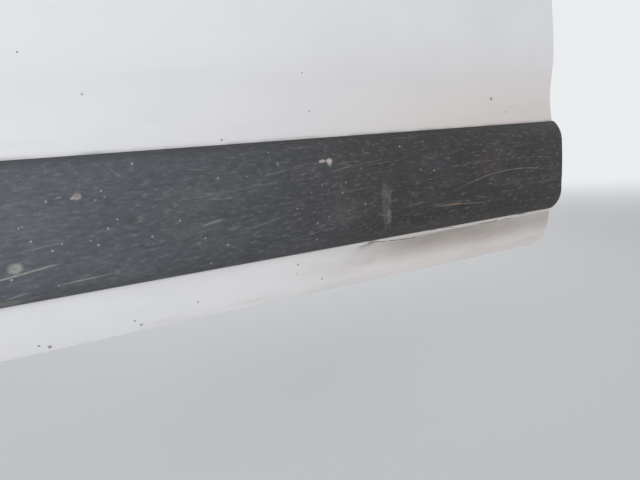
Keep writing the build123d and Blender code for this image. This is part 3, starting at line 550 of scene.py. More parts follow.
moulding_spots = [  # x, z, half length, half height, turn; strength, red, green, blue
    (-1.098, -0.0455, 0.0082, 0.0070, 0.1, 0.86, 152, 152, 146),
    (-1.100, -0.0450, 0.0012, 0.0012, 0.0, 0.80, 108, 98, 84),
    (-1.0095, 0.0415, 0.0054, 0.0042, 0.1, 0.84, 154, 149, 144),
    (-1.0155, 0.0398, 0.0030, 0.0018, 0.2, 0.80, 172, 168, 164),
    (-1.033, 0.0425, 0.0050, 0.0012, 0.1, 0.55, 150, 148, 146),
    (-0.6260, 0.0578, 0.0062, 0.0026, 0.1, 0.95, 178, 172, 168),
    (-0.6130, 0.0560, 0.0052, 0.0052, 0.3, 0.95, 184, 176, 172),
    (-0.6115, 0.0500, 0.0016, 0.0040, 0.0, 0.70, 150, 146, 142),
    (-0.708, 0.0590, 0.0016, 0.0042, 0.1, 0.75, 136, 138, 142),
    (-1.115, -0.0950, 0.0150, 0.0050, 0.0, 0.45, 120, 118, 112),
    (-0.500, -0.0100, 0.0120, 0.0120, 0.5, 0.35, 108, 104, 98),
    (-0.502, -0.0380, 0.0075, 0.0420, 0.03, 0.42, 104, 102, 99),
    (-0.493, -0.0240, 0.0026, 0.0110, 0.0, 0.42, 114, 112, 108),
    (-0.495, -0.0540, 0.0044, 0.0130, 0.0, 0.52, 124, 126, 128),
    (-0.492, -0.0760, 0.0016, 0.0110, 0.0, 0.36, 108, 107, 106),
    (-0.590, -0.0300, 0.0220, 0.0300, 0.0, 0.16, 98, 97, 96),
]
moulding_scratches = [  # from x and z, to x and z, half width; strength, red, green, blue
    (-0.374, -0.0518, -0.318, -0.0526, 0.0012, 0.75, 156, 134, 114),
    (-0.350, -0.0510, -0.255, -0.0590, 0.0008, 0.60, 138, 124, 112),
    (-0.385, -0.0470, -0.300, -0.0490, 0.0006, 0.55, 112, 104, 98),
    (-1.130, -0.0600, -1.058, -0.0495, 0.0013, 0.75, 160, 159, 153),
    (-1.090, -0.0540, -1.045, -0.0480, 0.0010, 0.60, 140, 142, 142),
    (-1.049, -0.0795, -0.992, -0.0755, 0.0013, 0.75, 142, 145, 140),
    (-1.088, -0.0245, -1.038, -0.0195, 0.0010, 0.55, 128, 130, 132),
    (-1.116, -0.0875, -1.090, -0.0835, 0.0013, 0.65, 140, 142, 142),
    (-0.963, 0.0760, -0.949, 0.0620, 0.0010, 0.60, 124, 124, 126),
    (-0.847, -0.0238, -0.808, -0.0190, 0.0017, 0.60, 116, 120, 112),
    (-0.836, -0.0220, -0.812, -0.0175, 0.0008, 0.70, 142, 144, 136),
    (-0.830, 0.0160, -0.792, 0.0130, 0.0008, 0.65, 124, 125, 127),
    (-0.768, -0.0390, -0.700, -0.0265, 0.0013, 0.60, 106, 108, 110),
    (-0.742, 0.0415, -0.686, 0.0490, 0.0010, 0.60, 108, 109, 110),
    (-0.852, 0.0645, -0.820, 0.0605, 0.0008, 0.55, 112, 113, 116),
    (-0.606, 0.0390, -0.562, 0.0460, 0.0011, 0.60, 116, 115, 112),
    (-0.560, 0.0450, -0.505, 0.0500, 0.0008, 0.50, 100, 99, 96),
    (-0.466, 0.0872, -0.420, 0.0850, 0.0010, 0.60, 98, 100, 104),
    (-0.955, -0.0500, -0.880, -0.0460, 0.0007, 0.40, 112, 116, 118),
    (-0.930, -0.0140, -0.900, -0.0030, 0.0007, 0.45, 112, 113, 115),
    (-0.700, -0.0700, -0.620, -0.0600, 0.0008, 0.50, 102, 104, 106),
    (-0.190, 0.0480, -0.120, 0.0560, 0.0007, 0.45, 100, 94, 90),
]
moulding_arcs = [  # circle's centre x and z, radius, from x, to x, half width, strength
    (-0.169, -0.499, 0.502, -0.330, -0.070, 0.0015, 0.50),
    (-0.217, -1.609, 1.636, -0.320, -0.030, 0.0011, 0.30),
]
moulding_specks = [  # x, z, radius
    (-1.048, 0.039, 0.0016), (-1.074, -0.012, 0.0016), (-1.085, 0.008, 0.0012), (-1.081, 0.009, 0.0011),
    (-0.978, 0.046, 0.0014), (-0.975, 0.037, 0.0011), (-0.931, 0.080, 0.0017), (-0.963, 0.003, 0.0013),
    (-0.977, -0.008, 0.0015), (-0.993, -0.030, 0.0018), (-1.002, -0.022, 0.0011), (-1.051, -0.029, 0.0016),
    (-1.038, -0.021, 0.0013), (-1.105, -0.060, 0.0016), (-0.919, -0.029, 0.0015), (-1.052, -0.080, 0.0013),
    (-0.987, 0.034, 0.0010), (-0.810, 0.047, 0.0016), (-0.876, -0.011, 0.0015), (-0.841, -0.044, 0.0015),
    (-0.806, -0.060, 0.0015), (-0.835, -0.087, 0.0016), (-0.647, -0.077, 0.0015), (-0.645, -0.048, 0.0015),
    (-0.681, -0.017, 0.0013), (-0.652, 0.007, 0.0011), (-0.631, 0.017, 0.0011), (-0.763, 0.045, 0.0010),
    (-0.387, 0.020, 0.0017), (-0.546, -0.026, 0.0016), (-0.592, -0.001, 0.0015), (-0.584, 0.017, 0.0013),
    (-0.419, 0.024, 0.0012), (-0.462, 0.071, 0.0015), (-0.621, -0.040, 0.0012), (-0.214, 0.040, 0.0012),
    (-0.300, -0.078, 0.0012), (-0.090, -0.020, 0.0011), (-0.150, 0.070, 0.0011), (-0.720, 0.080, 0.0011),
]


def moulding_recipe(place):
    """Dark grey grained plastic, chalky and scuffed, with the marks where things have rubbed it. Painted
    light makes it lighter and bluish at the rear and darker towards the front, and painted shade darkens its
    brow and chin.
    """
    x, _, z = place.axes()
    ragged = place.noise(330, 3, 0.7) - 0.5
    stain = place.stretched(1, 1, 1.5).noise(5.5, 3, 0.6)
    chalk = place.slanted(3, 0.30, 1, 1).noise(24, 5, 0.7).rise(0.42, 0.80)
    mottle = place.slanted(2, 0.35, 1, 1).noise(210, 3, 0.7)
    rubs = place.slanted(3.5, 0.030, 1, 1).noise(190, 2, 0.7, 0.4).rise(0.57, 0.79)
    rubs = rubs * place.noise(8, 2).rise(0.42, 0.62)
    others = place.slanted(-6, 0.050, 1, 1).noise(150, 2, 0.7, 0.4).rise(0.66, 0.84)
    others = others * place.noise(6, 2).rise(0.48, 0.64)
    grit = place.cells(150).rise(0.11, 0.04) * place.noise(15, 2).rise(0.50, 0.62)
    # edge: painted shade where the brow and chin turn away from the light
    edge = z.rise(-0.080, -0.100).most(z.rise(0.082, 0.097))
    scuffs = place.slanted(3, 0.3, 1, 1).noise(90, 4, 0.7).rise(0.52, 0.70) * z.rise(-0.080, -0.098)
    base = coats(
        # painted light: lighter, with a painted bluish sky reflection, at the rear, falling off to darker
        # towards the front
        x.rise(-1.15, -0.35).blend(colour(80, 84, 91), colour(47, 44, 43)),
        (stain.rise(0.50, 0.72), 0.30, 76, 83, 91),
        (stain.rise(0.46, 0.30) * x.rise(-0.5, -0.2), 0.38, 78, 69, 66),
        (chalk, 0.26 - x.rise(-1.12, -0.10) * 0.14, 122, 122, 122),
        (mottle.rise(0.51, 0.78), 0.42, 138, 138, 138),
        (mottle.rise(0.50, 0.24), 0.46, 36, 37, 39),
        (rubs, 0.29, 142, 141, 139),
        (others, 0.20, 132, 130, 128),
        (grit, 0.50, 160, 160, 160),
        # painted shade along the brow and chin
        (edge, 0.45, 48, 48, 50),
        (scuffs * x.rise(-0.55, -0.75), 0.20, 150, 148, 142),
    )
    worn = mottle.rise(0.20, 0.55)
    for *shape, strength, red, green, blue in moulding_spots:
        mask = place.mark(*shape, ragged * 0.7, 0.40) * worn
        base = coats(base, (mask, strength, red, green, blue))
    worn = mottle.rise(0.10, 0.60)
    for *ends, half_width, strength, red, green, blue in moulding_scratches:
        mask = place.stroke(*ends, half_width, ragged * 1.1, 0.6) * worn
        base = coats(base, (mask, strength, red, green, blue))
    for mid_x, mid_z, radius, from_x, to_x, half_width, strength in moulding_arcs:
        far = ((x - mid_x) ** 2 + (z - mid_z) ** 2).math("SQRT")
        ring = (far - radius).math("ABSOLUTE").rise(half_width, half_width * 0.3)
        ring = ring * x.rise(from_x - 0.02, from_x + 0.05) * x.rise(to_x + 0.02, to_x - 0.05)
        ring = ring * z.rise(mid_z, mid_z + 0.01)
        base = coats(base, (ring * mottle.rise(0.15, 0.60), strength, 140, 134, 130))
    base = coats(base, (place.dots(moulding_specks, ragged), 0.62, 172, 174, 176))
    pits = place.cells(560).rise(0.0, 0.6).bump(0.00006)
    normal = (rubs * 0.5 + place.noise(800, 2, 0.6)).bump(0.00007, pits)
    return {"Base Color": base, "Roughness": 0.58 + chalk * 0.16 - rubs * 0.08, "Normal": normal}


moulding_plastic = finish_of("moulding_plastic", moulding_recipe)
moulding = put_mesh("moulding_plank", *moulding_plank(), "door", "moulding_grey", moulding_plastic)
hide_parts("side_moulding")


# Inner panel
# The steel tray that carries the door's works. Its shut faces are painted with the body, thinner and
# matter than outside, and keep the dust and the water runs that washing doesn't reach.


def dress(material, *names):
    """Give carried pieces their finish."""
    for name in names:
        nodes[name].data.materials.clear()
        nodes[name].data.materials.append(material)


def shut_face_recipe(place):
    """Thin white paint with dry overspray, dust that thickens downwards, and runs below the hinges."""
    _, _, z = place.axes()
    dry = place.noise(7, 4, 0.6).rise(0.32, 0.75)
    dust = place.stretched(1, 2, 1).noise(30, 5, 0.65).rise(0.40, 0.74)
    runs = place.stretched(46, 30, 1.4).noise(3.2, 3, 0.6).rise(0.56, 0.78)
    edge_dirt = place.noise(150, 3, 0.7).rise(0.56, 0.70) * z.rise(-0.14, -0.185)
    specks = place.cells(75).rise(0.075, 0.03) * place.noise(13, 2).rise(0.52, 0.64)
    paint = coats(
        colour(222, 223, 225),
        (dry, 0.55, 203, 203, 200),
        (dust, z.rise(0.30, -0.17) * 0.45 + 0.10, 163, 152, 135),
        (runs, 0.20, 150, 138, 120),
        (edge_dirt, 0.55, 112, 100, 86),
        (specks, 0.55, 120, 84, 58),
    )
    texture = place.noise(320, 3, 0.6).bump(0.00005)
    return {"Base Color": paint, "Roughness": 0.36 + dust * 0.22 + dry * 0.10, "Normal": texture}


shut_face_paint = finish_of("shut_face_paint", shut_face_recipe, Coat_Weight=0.15, Coat_Roughness=0.25)
dress(shut_face_paint, "inner_panel")


# Shut-face plugs
# Soft rubber plugs pushed into the working holes of the two shut faces, with a dished middle and a
# thin lip that lies on the paint.
front_shut_x = -0.045
rear_shut_x = -1.156
plug_places = [  # shut face, its direction, y, z, radius
    (front_shut_x, 1, -0.046, 0.150, 0.0130),
    (front_shut_x, 1, -0.046, 0.235, 0.0095),
    (front_shut_x, 1, -0.046, -0.115, 0.0110),
    (front_shut_x, 1, -0.040, 0.510, 0.0095),
    (rear_shut_x, -1, -0.046, 0.180, 0.0130),
    (rear_shut_x, -1, -0.046, 0.020, 0.0095),
    (rear_shut_x, -1, -0.046, -0.110, 0.0110),
    (rear_shut_x, -1, -0.044, 0.490, 0.0095),
]


def lathe(profile, centre, direction, sides=32, lobes=0.0):
    """Profile of (radius, height) turned round an axis: a radius may swell by lobes times cos(6 angle)."""
    along = np.array(direction, float)
    across = np.roll(along, 1)
    third = np.cross(along, across)
    angle = np.linspace(0, 2 * math.pi, sides, endpoint=False)
    radius, height = np.array(profile, float).T[..., None]
    radius = radius * (1 + np.outer(np.broadcast_to(lobes, len(profile)), np.cos(6 * angle)))
    spokes = np.cos(angle)[:, None] * across + np.sin(angle)[:, None] * third
    points = np.array(centre) + radius[..., None] * spokes + height[..., None] * along
    return points.reshape(-1, 3), tube_faces(len(profile), sides)


def gathered(shells):
    """Several closed shells as one list of points and faces."""
    points, faces, count = [], [], 0
    for shell_points, shell_faces in shells:
        points.append(shell_points)
        faces += [[index + count for index in face] for face in shell_faces]
        count += len(shell_points)
    return np.vstack(points), faces


def plug(face_x, way, y, z, radius):
    """Lip, shoulder and dished middle of one plug, turned round an axis along the door."""
    profile = [(radius, 0.0), (radius, 0.0006), (radius * 0.86, 0.0014), (radius * 0.74, 0.0030)]
    profile += [(radius * 0.62, 0.0030), (radius * 0.52, 0.0016), (radius * 0.16, 0.0013)]
    return lathe(profile, (face_x, y, z), (way, 0, 0), 28)


def rubber_recipe(place):
    """Black rubber greyed by bloom, with fine grit where water has dried."""
    bloom = place.noise(15, 4, 0.6).rise(0.38, 0.74)
    grit = place.noise(95, 4, 0.7).rise(0.52, 0.78)
    tone = coats(colour(36, 36, 37), (bloom, 0.55, 66, 65, 62), (grit, 0.30, 122, 115, 103))
    texture = place.noise(1100, 2, 0.6).bump(0.00006)
    return {"Base Color": tone, "Roughness": 0.62 + bloom * 0.18, "Normal": texture}


rubber = finish_of("seal_rubber", rubber_recipe)
plugs = gathered([plug(*row) for row in plug_places])
put_mesh("shut_face_plugs", *plugs, "door", "seal_rubber", rubber)


# Window frame
# A deep steel channel welded on the inner panel and painted with the body.


def frame_recipe(place):
    """White paint with faint orange peel, a film of dust, rub marks and a few chips."""
    cloud = place.noise(5, 3).rise(0.36, 0.76)
    film = place.slanted(62, 0.35, 1, 1).noise(34, 5, 0.62).rise(0.46, 0.80)
    rubs = place.noise(140, 3, 0.7).rise(0.60, 0.74) * place.noise(7, 2).rise(0.50, 0.66)
    chips = place.cells(46).rise(0.055, 0.025) * place.noise(9, 2).rise(0.54, 0.66)
    paint = coats(
        colour(227, 228, 231),
        (cloud, 0.26, 210, 210, 210),
        (film, 0.09, 160, 154, 144),
        (rubs, 0.40, 128, 122, 114),
        (chips, 0.80, 96, 84, 74),
    )
    return {"Base Color": paint, "Roughness": 0.30 + film * 0.22, "Normal": place.noise(240, 2).bump(0.00002)}


dress(finish_of("frame_paint", frame_recipe, Coat_Weight=0.30, Coat_Roughness=0.15), "window_frame")


# Door glass
# Green-tinted tempered pane, with dried dust towards the sill and fine lines where the seals wipe it.


def glass_recipe(place):
    """Clear and smooth, dulled by dust near the sill, smeared and lightly scored along its travel."""
    _, _, z = place.axes()
    dust = place.noise(240, 5, 0.75).rise(0.30, 0.90) * z.rise(0.90, 0.60)
    smear = place.slanted(30, 1, 1, 0.35).noise(9, 4, 0.6, 0.8).rise(0.48, 0.75)
    score = place.stretched(1, 1, 0.02).noise(420, 2, 0.7).rise(0.66, 0.82)
    tint = coats(colour(204, 226, 216), (dust, 0.30, 190, 194, 180))
    return {"Base Color": tint, "Roughness": 0.015 + dust * 0.07 + smear * 0.02 + score * 0.03}


dress(finish_of("tinted_glass", glass_recipe, Transmission_Weight=1.0, IOR=1.5), "door_glass")


# Glass channel and belt seals
# Flocked rubber run round the glass and the two wiping seals at the sill, one on each side of the pane.


def belt_seal_recipe(place):
    """Rubber with a fine lengthwise score, dull flocking and dust caught along the lip."""
    bloom = place.stretched(0.25, 1, 1).noise(40, 4, 0.62).rise(0.40, 0.76)
    dust = place.stretched(0.3, 1, 1).noise(150, 4, 0.7).rise(0.55, 0.80)
    tone = coats(colour(33, 33, 35), (bloom, 0.50, 70, 69, 67), (dust, 0.35, 128, 121, 108))
    flock = place.noise(1500, 2, 0.7).bump(0.00009)
    return {"Base Color": tone, "Roughness": 0.66 + bloom * 0.16, "Normal": flock}


dress(finish_of("belt_rubber", belt_seal_recipe), "glass_channel", "outer_sill_seal", "inner_sill_seal")


# Weatherstrip
# Sponge-rubber bulb on a gripping foot, pressed on all round the inner panel and the window frame.
strip_inset = 0.036
strip_step = 0.012
bulb_radius = 0.0043
bulb_height = 0.0073
bulb_open = 0.85  # angle at each side of the waist
sheet_y = -0.015
frame_back = 0.036  # window frame's depth behind its outer face
belt_lean = 0.038
roof_lean = 0.152
roof_z = 1.310
strip_corners = ((-0.020, -0.190), (-0.020, 0.600), (-0.5605, 1.310), (-1.170, 1.310), (-1.170, -0.190))
strip_radii = (0.016, 0.060, 0.085, 0.055, 0.016)


def drawn_in(corners, inset):
    """Polygon whose sides are all moved inwards by the same distance, corners given anticlockwise."""
    corners = np.array(corners, float)
    ahead = np.roll(corners, -1, 0) - corners
    ahead /= np.hypot(*ahead.T)[:, None]
    inward = np.column_stack([-ahead[:, 1], ahead[:, 0]])
    before, inward_before = np.roll(ahead, 1, 0), np.roll(inward, 1, 0)
    moved = []
    for corner, a, b, na, nb in zip(corners, before, ahead, inward_before, inward):
        moved.append(np.linalg.solve([na, nb], [na @ corner + inset, nb @ corner + inset]))
    return np.array(moved)


def rounded_loop(corners, radii, step):
    """Closed line round a convex polygon: straight runs in even steps, joined by arcs of given radii."""
    corners = np.array(corners, float)
    line = []
    for before, corner, after, radius in zip(np.roll(corners, 1, 0), corners, np.roll(corners, -1, 0), radii):
        back, ahead = before - corner, after - corner
        back, ahead = back / np.hypot(*back), ahead / np.hypot(*ahead)
        half = math.acos(back @ ahead) / 2
        middle = corner + (back + ahead) / np.hypot(*(back + ahead)) * radius / math.sin(half)
        first, last = corner + back * radius / math.tan(half), corner + ahead * radius / math.tan(half)
        spokes = [math.atan2(*(point - middle)[::-1]) for point in (first, last)]
        turn = np.linspace(*np.unwrap(spokes), 12)
        line.append(middle + radius * np.column_stack([np.cos(turn), np.sin(turn)]))
    loop = []
    for arc, following in zip(line, line[1:] + line[:1]):
        loop.append(arc)
        count = max(int(np.hypot(*(following[0] - arc[-1])) / step), 2)
        loop.append(np.linspace(arc[-1], following[0], count + 1)[1:-1])
    return np.vstack(loop)


def strip_seat_y(x, z):
    """Height of the strip's foot: on the flat sheet low down, on the leaning frame above the sill."""
    lean = (roof_lean - belt_lean) / (roof_z - belt_rear_z)
    leaning = skin_y + belt_lean + lean * (z - belt_rear_z) + frame_back
    above = smooth_step(z, belt_z(x) - 0.012, belt_z(x) + 0.014)
    return sheet_y + (leaning - sheet_y) * above


def carried_round(loop, seat, profile):
    """Closed profile of (across, height) carried round a closed line in the side view, on its seat."""
    ahead = np.roll(loop, -1, 0) - np.roll(loop, 1, 0)
    ahead /= np.hypot(*ahead.T)[:, None]
    inward = np.column_stack([-ahead[:, 1], ahead[:, 0]])
    across, height = np.array(profile).T
    flat = loop[:, None, :] + inward[:, None, :] * across[None, :, None]
    up = np.broadcast_to(seat, len(loop))[:, None] + height[None, :]
    outward = np.roll(grid_faces(*up.shape, ringed=True, looped=True)[:, ::-1], 1, axis=1)
    return np.stack([flat[..., 0], up, flat[..., 1]], -1).reshape(-1, 3), outward


def weatherstrip_ring():
    """Bulb section carried round the loop: a 12 mm foot with lips, a waist and a round bulb."""
    loop = rounded_loop(drawn_in(strip_corners, strip_inset), strip_radii, strip_step)
    turns = np.linspace(-bulb_open, math.pi + bulb_open, 15)
    bulb = [(bulb_radius * math.cos(t), bulb_height + bulb_radius * math.sin(t)) for t in turns]
    lip = [(-0.0046, 0.0036), (-0.0058, 0.0026), (-0.0058, 0.0004)]
    foot = [*lip, *((-across, height) for across, height in lip[::-1])]
    return carried_round(loop, strip_seat_y(*loop.T), bulb + foot)


strip = put_mesh("weatherstrip_bulb", *weatherstrip_ring(), "door", "seal_rubber", rubber, 50)
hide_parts("weatherstrip")


# Mirror
# Grained black plastic: a corner cover with the arm's foot, the folding arm, the shell and the bezel,
# which holds a flat glass over a wide-angle one, and the amber side indicator let into the shell.


def grained(tone, worn_tone, grain_scale, grain_depth, dust_tone, dust_share):
    """Recipe of moulded plastic: cell-shaped grain, faded clouds, fine dust and rubbed flecks."""

    def recipe(place):
        cloud = place.noise(8, 4, 0.62).rise(0.34, 0.76)
        dust = place.noise(58, 5, 0.68).rise(0.46, 0.80)
        rubs = place.slanted(25, 0.08, 0.4, 1).noise(170, 2, 0.7, 0.4).rise(0.66, 0.80)
        rubs = rubs * place.noise(9, 2).rise(0.50, 0.64)
        flecks = place.cells(105).rise(0.07, 0.03) * place.noise(14, 2).rise(0.54, 0.64)
        dusty = ((dust, dust_share, *dust_tone), (rubs, 0.35, *dust_tone), (flecks, 0.45, *dust_tone))
        base = coats(colour(*tone), (cloud, 0.45, *worn_tone), *dusty)
        fine = place.noise(grain_scale * 2.2, 2, 0.6).bump(grain_depth * 0.5)
        normal = place.cells(grain_scale, "DISTANCE_TO_EDGE").rise(0.0, 0.14).bump(grain_depth, fine)
        roughness = 0.50 + cloud * 0.16 + dust * 0.10 - rubs * 0.10
        return {"Base Color": base, "Roughness": roughness, "Normal": normal}

    return recipe


mirror_plastic_recipe = grained((46, 47, 49), (66, 66, 66), 620, 0.00009, (120, 116, 108), 0.22)
mirror_plastic = finish_of("mirror_plastic", mirror_plastic_recipe)
dress(mirror_plastic, "mirror_base", "mirror_arm", "mirror_head", "mirror_bezel")
cover_plastic_recipe = grained((84, 85, 88), (98, 98, 99), 560, 0.00010, (140, 136, 128), 0.14)
cover_plastic = finish_of("cover_plastic", cover_plastic_recipe)
dress(cover_plastic, "inner_corner_cover")


def mirror_recipe(place):
    """Silvered glass with a light film and dried drops."""
    drops = place.cells(95).rise(0.16, 0.06) * place.noise(21, 2).rise(0.48, 0.60)
    film = place.noise(13, 4, 0.6).rise(0.40, 0.80)
    tone = coats(colour(226, 230, 232), (film, 0.30, 204, 209, 212), (drops, 0.25, 178, 178, 172))
    return {"Base Color": tone, "Roughness": 0.02 + film * 0.03 + drops * 0.12}


dress(finish_of("mirror_silver", mirror_recipe, Metallic=1.0), "wide_angle_mirror", "main_mirror")


rib_pitch = 0.003


def lens_recipe(place):
    """Amber plastic with upright ribs moulded inside, paler in clouds and darker between the ribs."""
    _, y, _ = place.axes()
    ribs = (y * (2 * math.pi / rib_pitch)).math("SINE")
    glow = place.noise(36, 3).rise(0.35, 0.75)
    tone = coats(colour(232, 128, 24), (glow, 0.60, 244, 158, 52), (ribs.rise(-0.2, -1.0), 0.35, 172, 82, 12))
    return {"Base Color": tone, "Roughness": 0.10 + glow * 0.06, "Normal": ribs.bump(0.00020)}


amber = finish_of("amber_lens", lens_recipe, Transmission_Weight=0.35, IOR=1.49, Coat_Weight=0.5)
dress(amber, "indicator_lens")


# Hinges
# Forged leaves painted with the body, turning on plain steel pins. Grease and road dirt sit round the
# knuckles, and rust has started at their chipped edges.
pin_x = -0.022
pin_y = -0.045
hinge_heights = (0.0, 0.400)


def hinge_recipe(place):
    """White paint, thick with dirty grease near the pin, rust-brown at the knuckles' chipped edges."""
    x, y, _ = place.axes()
    near = ((x - pin_x) ** 2 + (y - pin_y) ** 2).math("SQRT")
    cloud = place.noise(30, 4, 0.62).rise(0.36, 0.76)
    grease = (near + (place.noise(60, 4, 0.7) - 0.5) * 0.020).rise(0.017, 0.0085)
    rust = place.noise(170, 4, 0.7).rise(0.56, 0.68) * near.rise(0.024, 0.010)
    runs = place.stretched(60, 60, 2).noise(3, 3).rise(0.56, 0.74)
    paint = coats(
        colour(216, 216, 216),
        (cloud, 0.40, 192, 190, 184),
        (grease, 0.62, 98, 88, 74),
        (rust, 0.80, 118, 70, 40),
        (runs, 0.25, 150, 122, 92),
    )
    cast = place.noise(380, 3, 0.6).bump(0.00008)
    return {"Base Color": paint, "Roughness": 0.42 + grease * 0.1 + rust * 0.3, "Normal": cast}


dress(
    finish_of("hinge_paint", hinge_recipe),
    *(f"{hinge}_hinge_{leaf}_leaf" for hinge in ("lower", "upper") for leaf in ("pillar", "door")),
)


def zinc_recipe(place):
    """Zinc plate gone dull and yellowish, with crystals, brushed lines and specks of white rust."""
    bloom = place.cells(210).rise(0.10, 0.70)
    stain = place.noise(26, 4, 0.65).rise(0.45, 0.72)
    white = place.noise(240, 4, 0.7).rise(0.62, 0.74)
    tone = coats(
        colour(196, 190, 170),
        (bloom, 0.50, 164, 160, 146),
        (stain, 0.45, 138, 118, 84),
        (white, 0.50, 212, 210, 202),
    )
    roughness = 0.34 + stain * 0.22 + white * 0.2
    brushed = place.stretched(1, 1, 0.06).noise(700, 2, 0.6).bump(0.00003)
    return {"Base Color": tone, "Roughness": roughness, "Metallic": 1 - stain * 0.5, "Normal": brushed}


zinc = finish_of("zinc_plate", zinc_recipe)
dress(zinc, "lower_hinge_pin", "upper_hinge_pin", "latch_case")


# Hinge bolts
# Flanged hexagon screws that hold each door leaf on the front shut face.
door_leaf_face_x = -0.0377
door_bolt_reach = 0.034


def flanged_screw(z):
    """Round flange with a soft rim under a low chamfered hexagon with a dimple, clear of the knuckles."""
    flange = [(0.0092, 0.0), (0.0092, 0.0009), (0.0078, 0.0017), (0.0050, 0.0021)]
    head = [(0.0062, 0.0015), (0.0062, 0.0047), (0.0054, 0.0053), (0.0030, 0.0053), (0.0022, 0.0047)]
    centre = (door_leaf_face_x, pin_y, z)
    return [lathe(flange, centre, (1, 0, 0), 30), lathe(head, centre, (1, 0, 0), 6)]


bolts = [flanged_screw(height + side * door_bolt_reach) for height in hinge_heights for side in (-1, 1)]
put_mesh("hinge_bolts", *gathered(sum(bolts, [])), "door", "zinc_steel", zinc, 30)


# Latch screws
# Three lobed countersunk screws that pull the latch against the rear shut face.
latch_face_x = -1.1575
latch_screws = ((-0.030, 0.374), (-0.030, 0.326), (-0.066, 0.350))


def lobed_screw(y, z):
    """Low domed head with a six-lobed socket sunk in its middle."""
    dome = [(0.0056, 0.0), (0.0053, 0.0010), (0.0042, 0.0018), (0.0026, 0.0022)]
    socket = [(0.0025, 0.0010), (0.0004, 0.0010)]
    return lathe(dome + socket, (latch_face_x, y, z), (-1, 0, 0), 36, [0, 0, 0, 0.16, 0.16, 0])


screws = gathered([lobed_screw(*place) for place in latch_screws])
put_mesh("latch_screws", *screws, "door", "zinc_steel", zinc, 30)


# Outer handle and lock
# Grained black recess and pull of hard plastic, polished where hands reach in, and a satin lock cylinder.
handle_plastic_recipe = grained((48, 49, 51), (70, 70, 70), 700, 0.00007, (128, 124, 116), 0.20)
handle_plastic = finish_of("handle_plastic", handle_plastic_recipe)
dress(handle_plastic, "handle_recess", "handle_grip")
pull_x, pull_z = recess_hole[:2]
pull_half_length = 0.118
pull_half_height = 0.015
pull_foot = 0.083  # half the clear width between its feet
pull_round = 0.012  # length over which each end is rounded
pull_stations = 75
pull_section = 40
pull_top = (0.010, 0.046)  # its face over the skin, at the ends and in the middle
pull_under = (0.004, 0.029)  # the hand's space, at the feet and in the middle


def bowed(x, half_chord, end_rise, top_rise):
    """Height of an arc over a chord: from end_rise at both ends to top_rise in the middle."""
    rise = top_rise - end_rise
    radius = (half_chord**2 + rise**2) / (2 * rise)
    return top_rise - radius + np.sqrt(np.maximum(radius**2 - x**2, 0))


def handle_bridge():
    """Soft-cornered section run along a handle: a bowed bridge that swells into two feet on the skin."""
    straight = pull_half_length - pull_round
    rounded = straight + pull_round * np.sin(np.linspace(0, math.pi / 2, 14))
    ahead = np.concatenate([np.linspace(0, straight, pull_stations)[:-1], rounded])
    x = np.concatenate([-ahead[:0:-1], ahead])[:, None]
    angle = np.linspace(0, 2 * math.pi, pull_section, endpoint=False)
    squarish = 2 / 3.4
    inward, upward = (np.sign(f(angle)) * abs(f(angle)) ** squarish for f in (np.cos, np.sin))
    tip = np.sqrt(np.clip(1 - (np.maximum(abs(x) - straight, 0) / pull_round) ** 2, 0, 1))
    height = pull_half_height * (1 - 0.16 * (x / pull_half_length) ** 2) * (0.60 + 0.40 * tip)
    z = pull_z + height * upward
    skin_face, middle_face = (skin_y - np.interp(level, *section.T[::-1]) for level in (z, pull_z))
    foot = smooth_step(abs(x), pull_foot - 0.002, pull_foot + 0.004)
    spread = smooth_step(abs(x), pull_foot, pull_half_length)
    outer = middle_face + (skin_face - middle_face) * spread - 0.002
    outer = outer - (bowed(x, pull_half_length, *pull_top) - 0.002) * tip
    under = (middle_face - bowed(x, pull_foot, *pull_under)) * (1 - foot) + (skin_face + 0.0004) * foot
    y = outer + (under - outer) * (inward + 1) / 2
    return capped_run(np.stack([y, z], -1), x[:, 0] + pull_x)


pull = put_mesh("handle_bridge", *handle_bridge(), "door", "grained_black", handle_plastic, 50)
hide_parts("handle_grip")


def lock_recipe(place):
    """Satin chrome turned on a lathe: fine rings, scratches beside the key's place, dirt in the edge."""
    x, _, z = place.axes()
    far = ((x - lock_hole[0]) ** 2 + (z - lock_hole[1]) ** 2).math("SQRT")
    rings = (far * (2 * math.pi / 0.0006)).math("SINE")
    scratch = place.slanted(70, 0.15, 1, 1).noise(900, 2, 0.7).rise(0.60, 0.76) * far.rise(0.007, 0.003)
    tone = place.noise(120, 3).rise(0.35, 0.75).blend(colour(196, 196, 194), colour(168, 168, 166))
    tone = coats(tone, (far.rise(0.0088, 0.0108), 0.55, 84, 80, 74))
    normal = (rings * 0.3 + scratch).bump(0.00002)
    return {"Base Color": tone, "Roughness": 0.26 + scratch * 0.2, "Normal": normal}


dress(finish_of("lock_metal", lock_recipe, Metallic=1.0), "lock_cylinder")


# Trim
# Moulded grey inner panel with a leather grain and a padded roll under the sill. Shoes have scuffed
# its foot and the sun has paled its top.


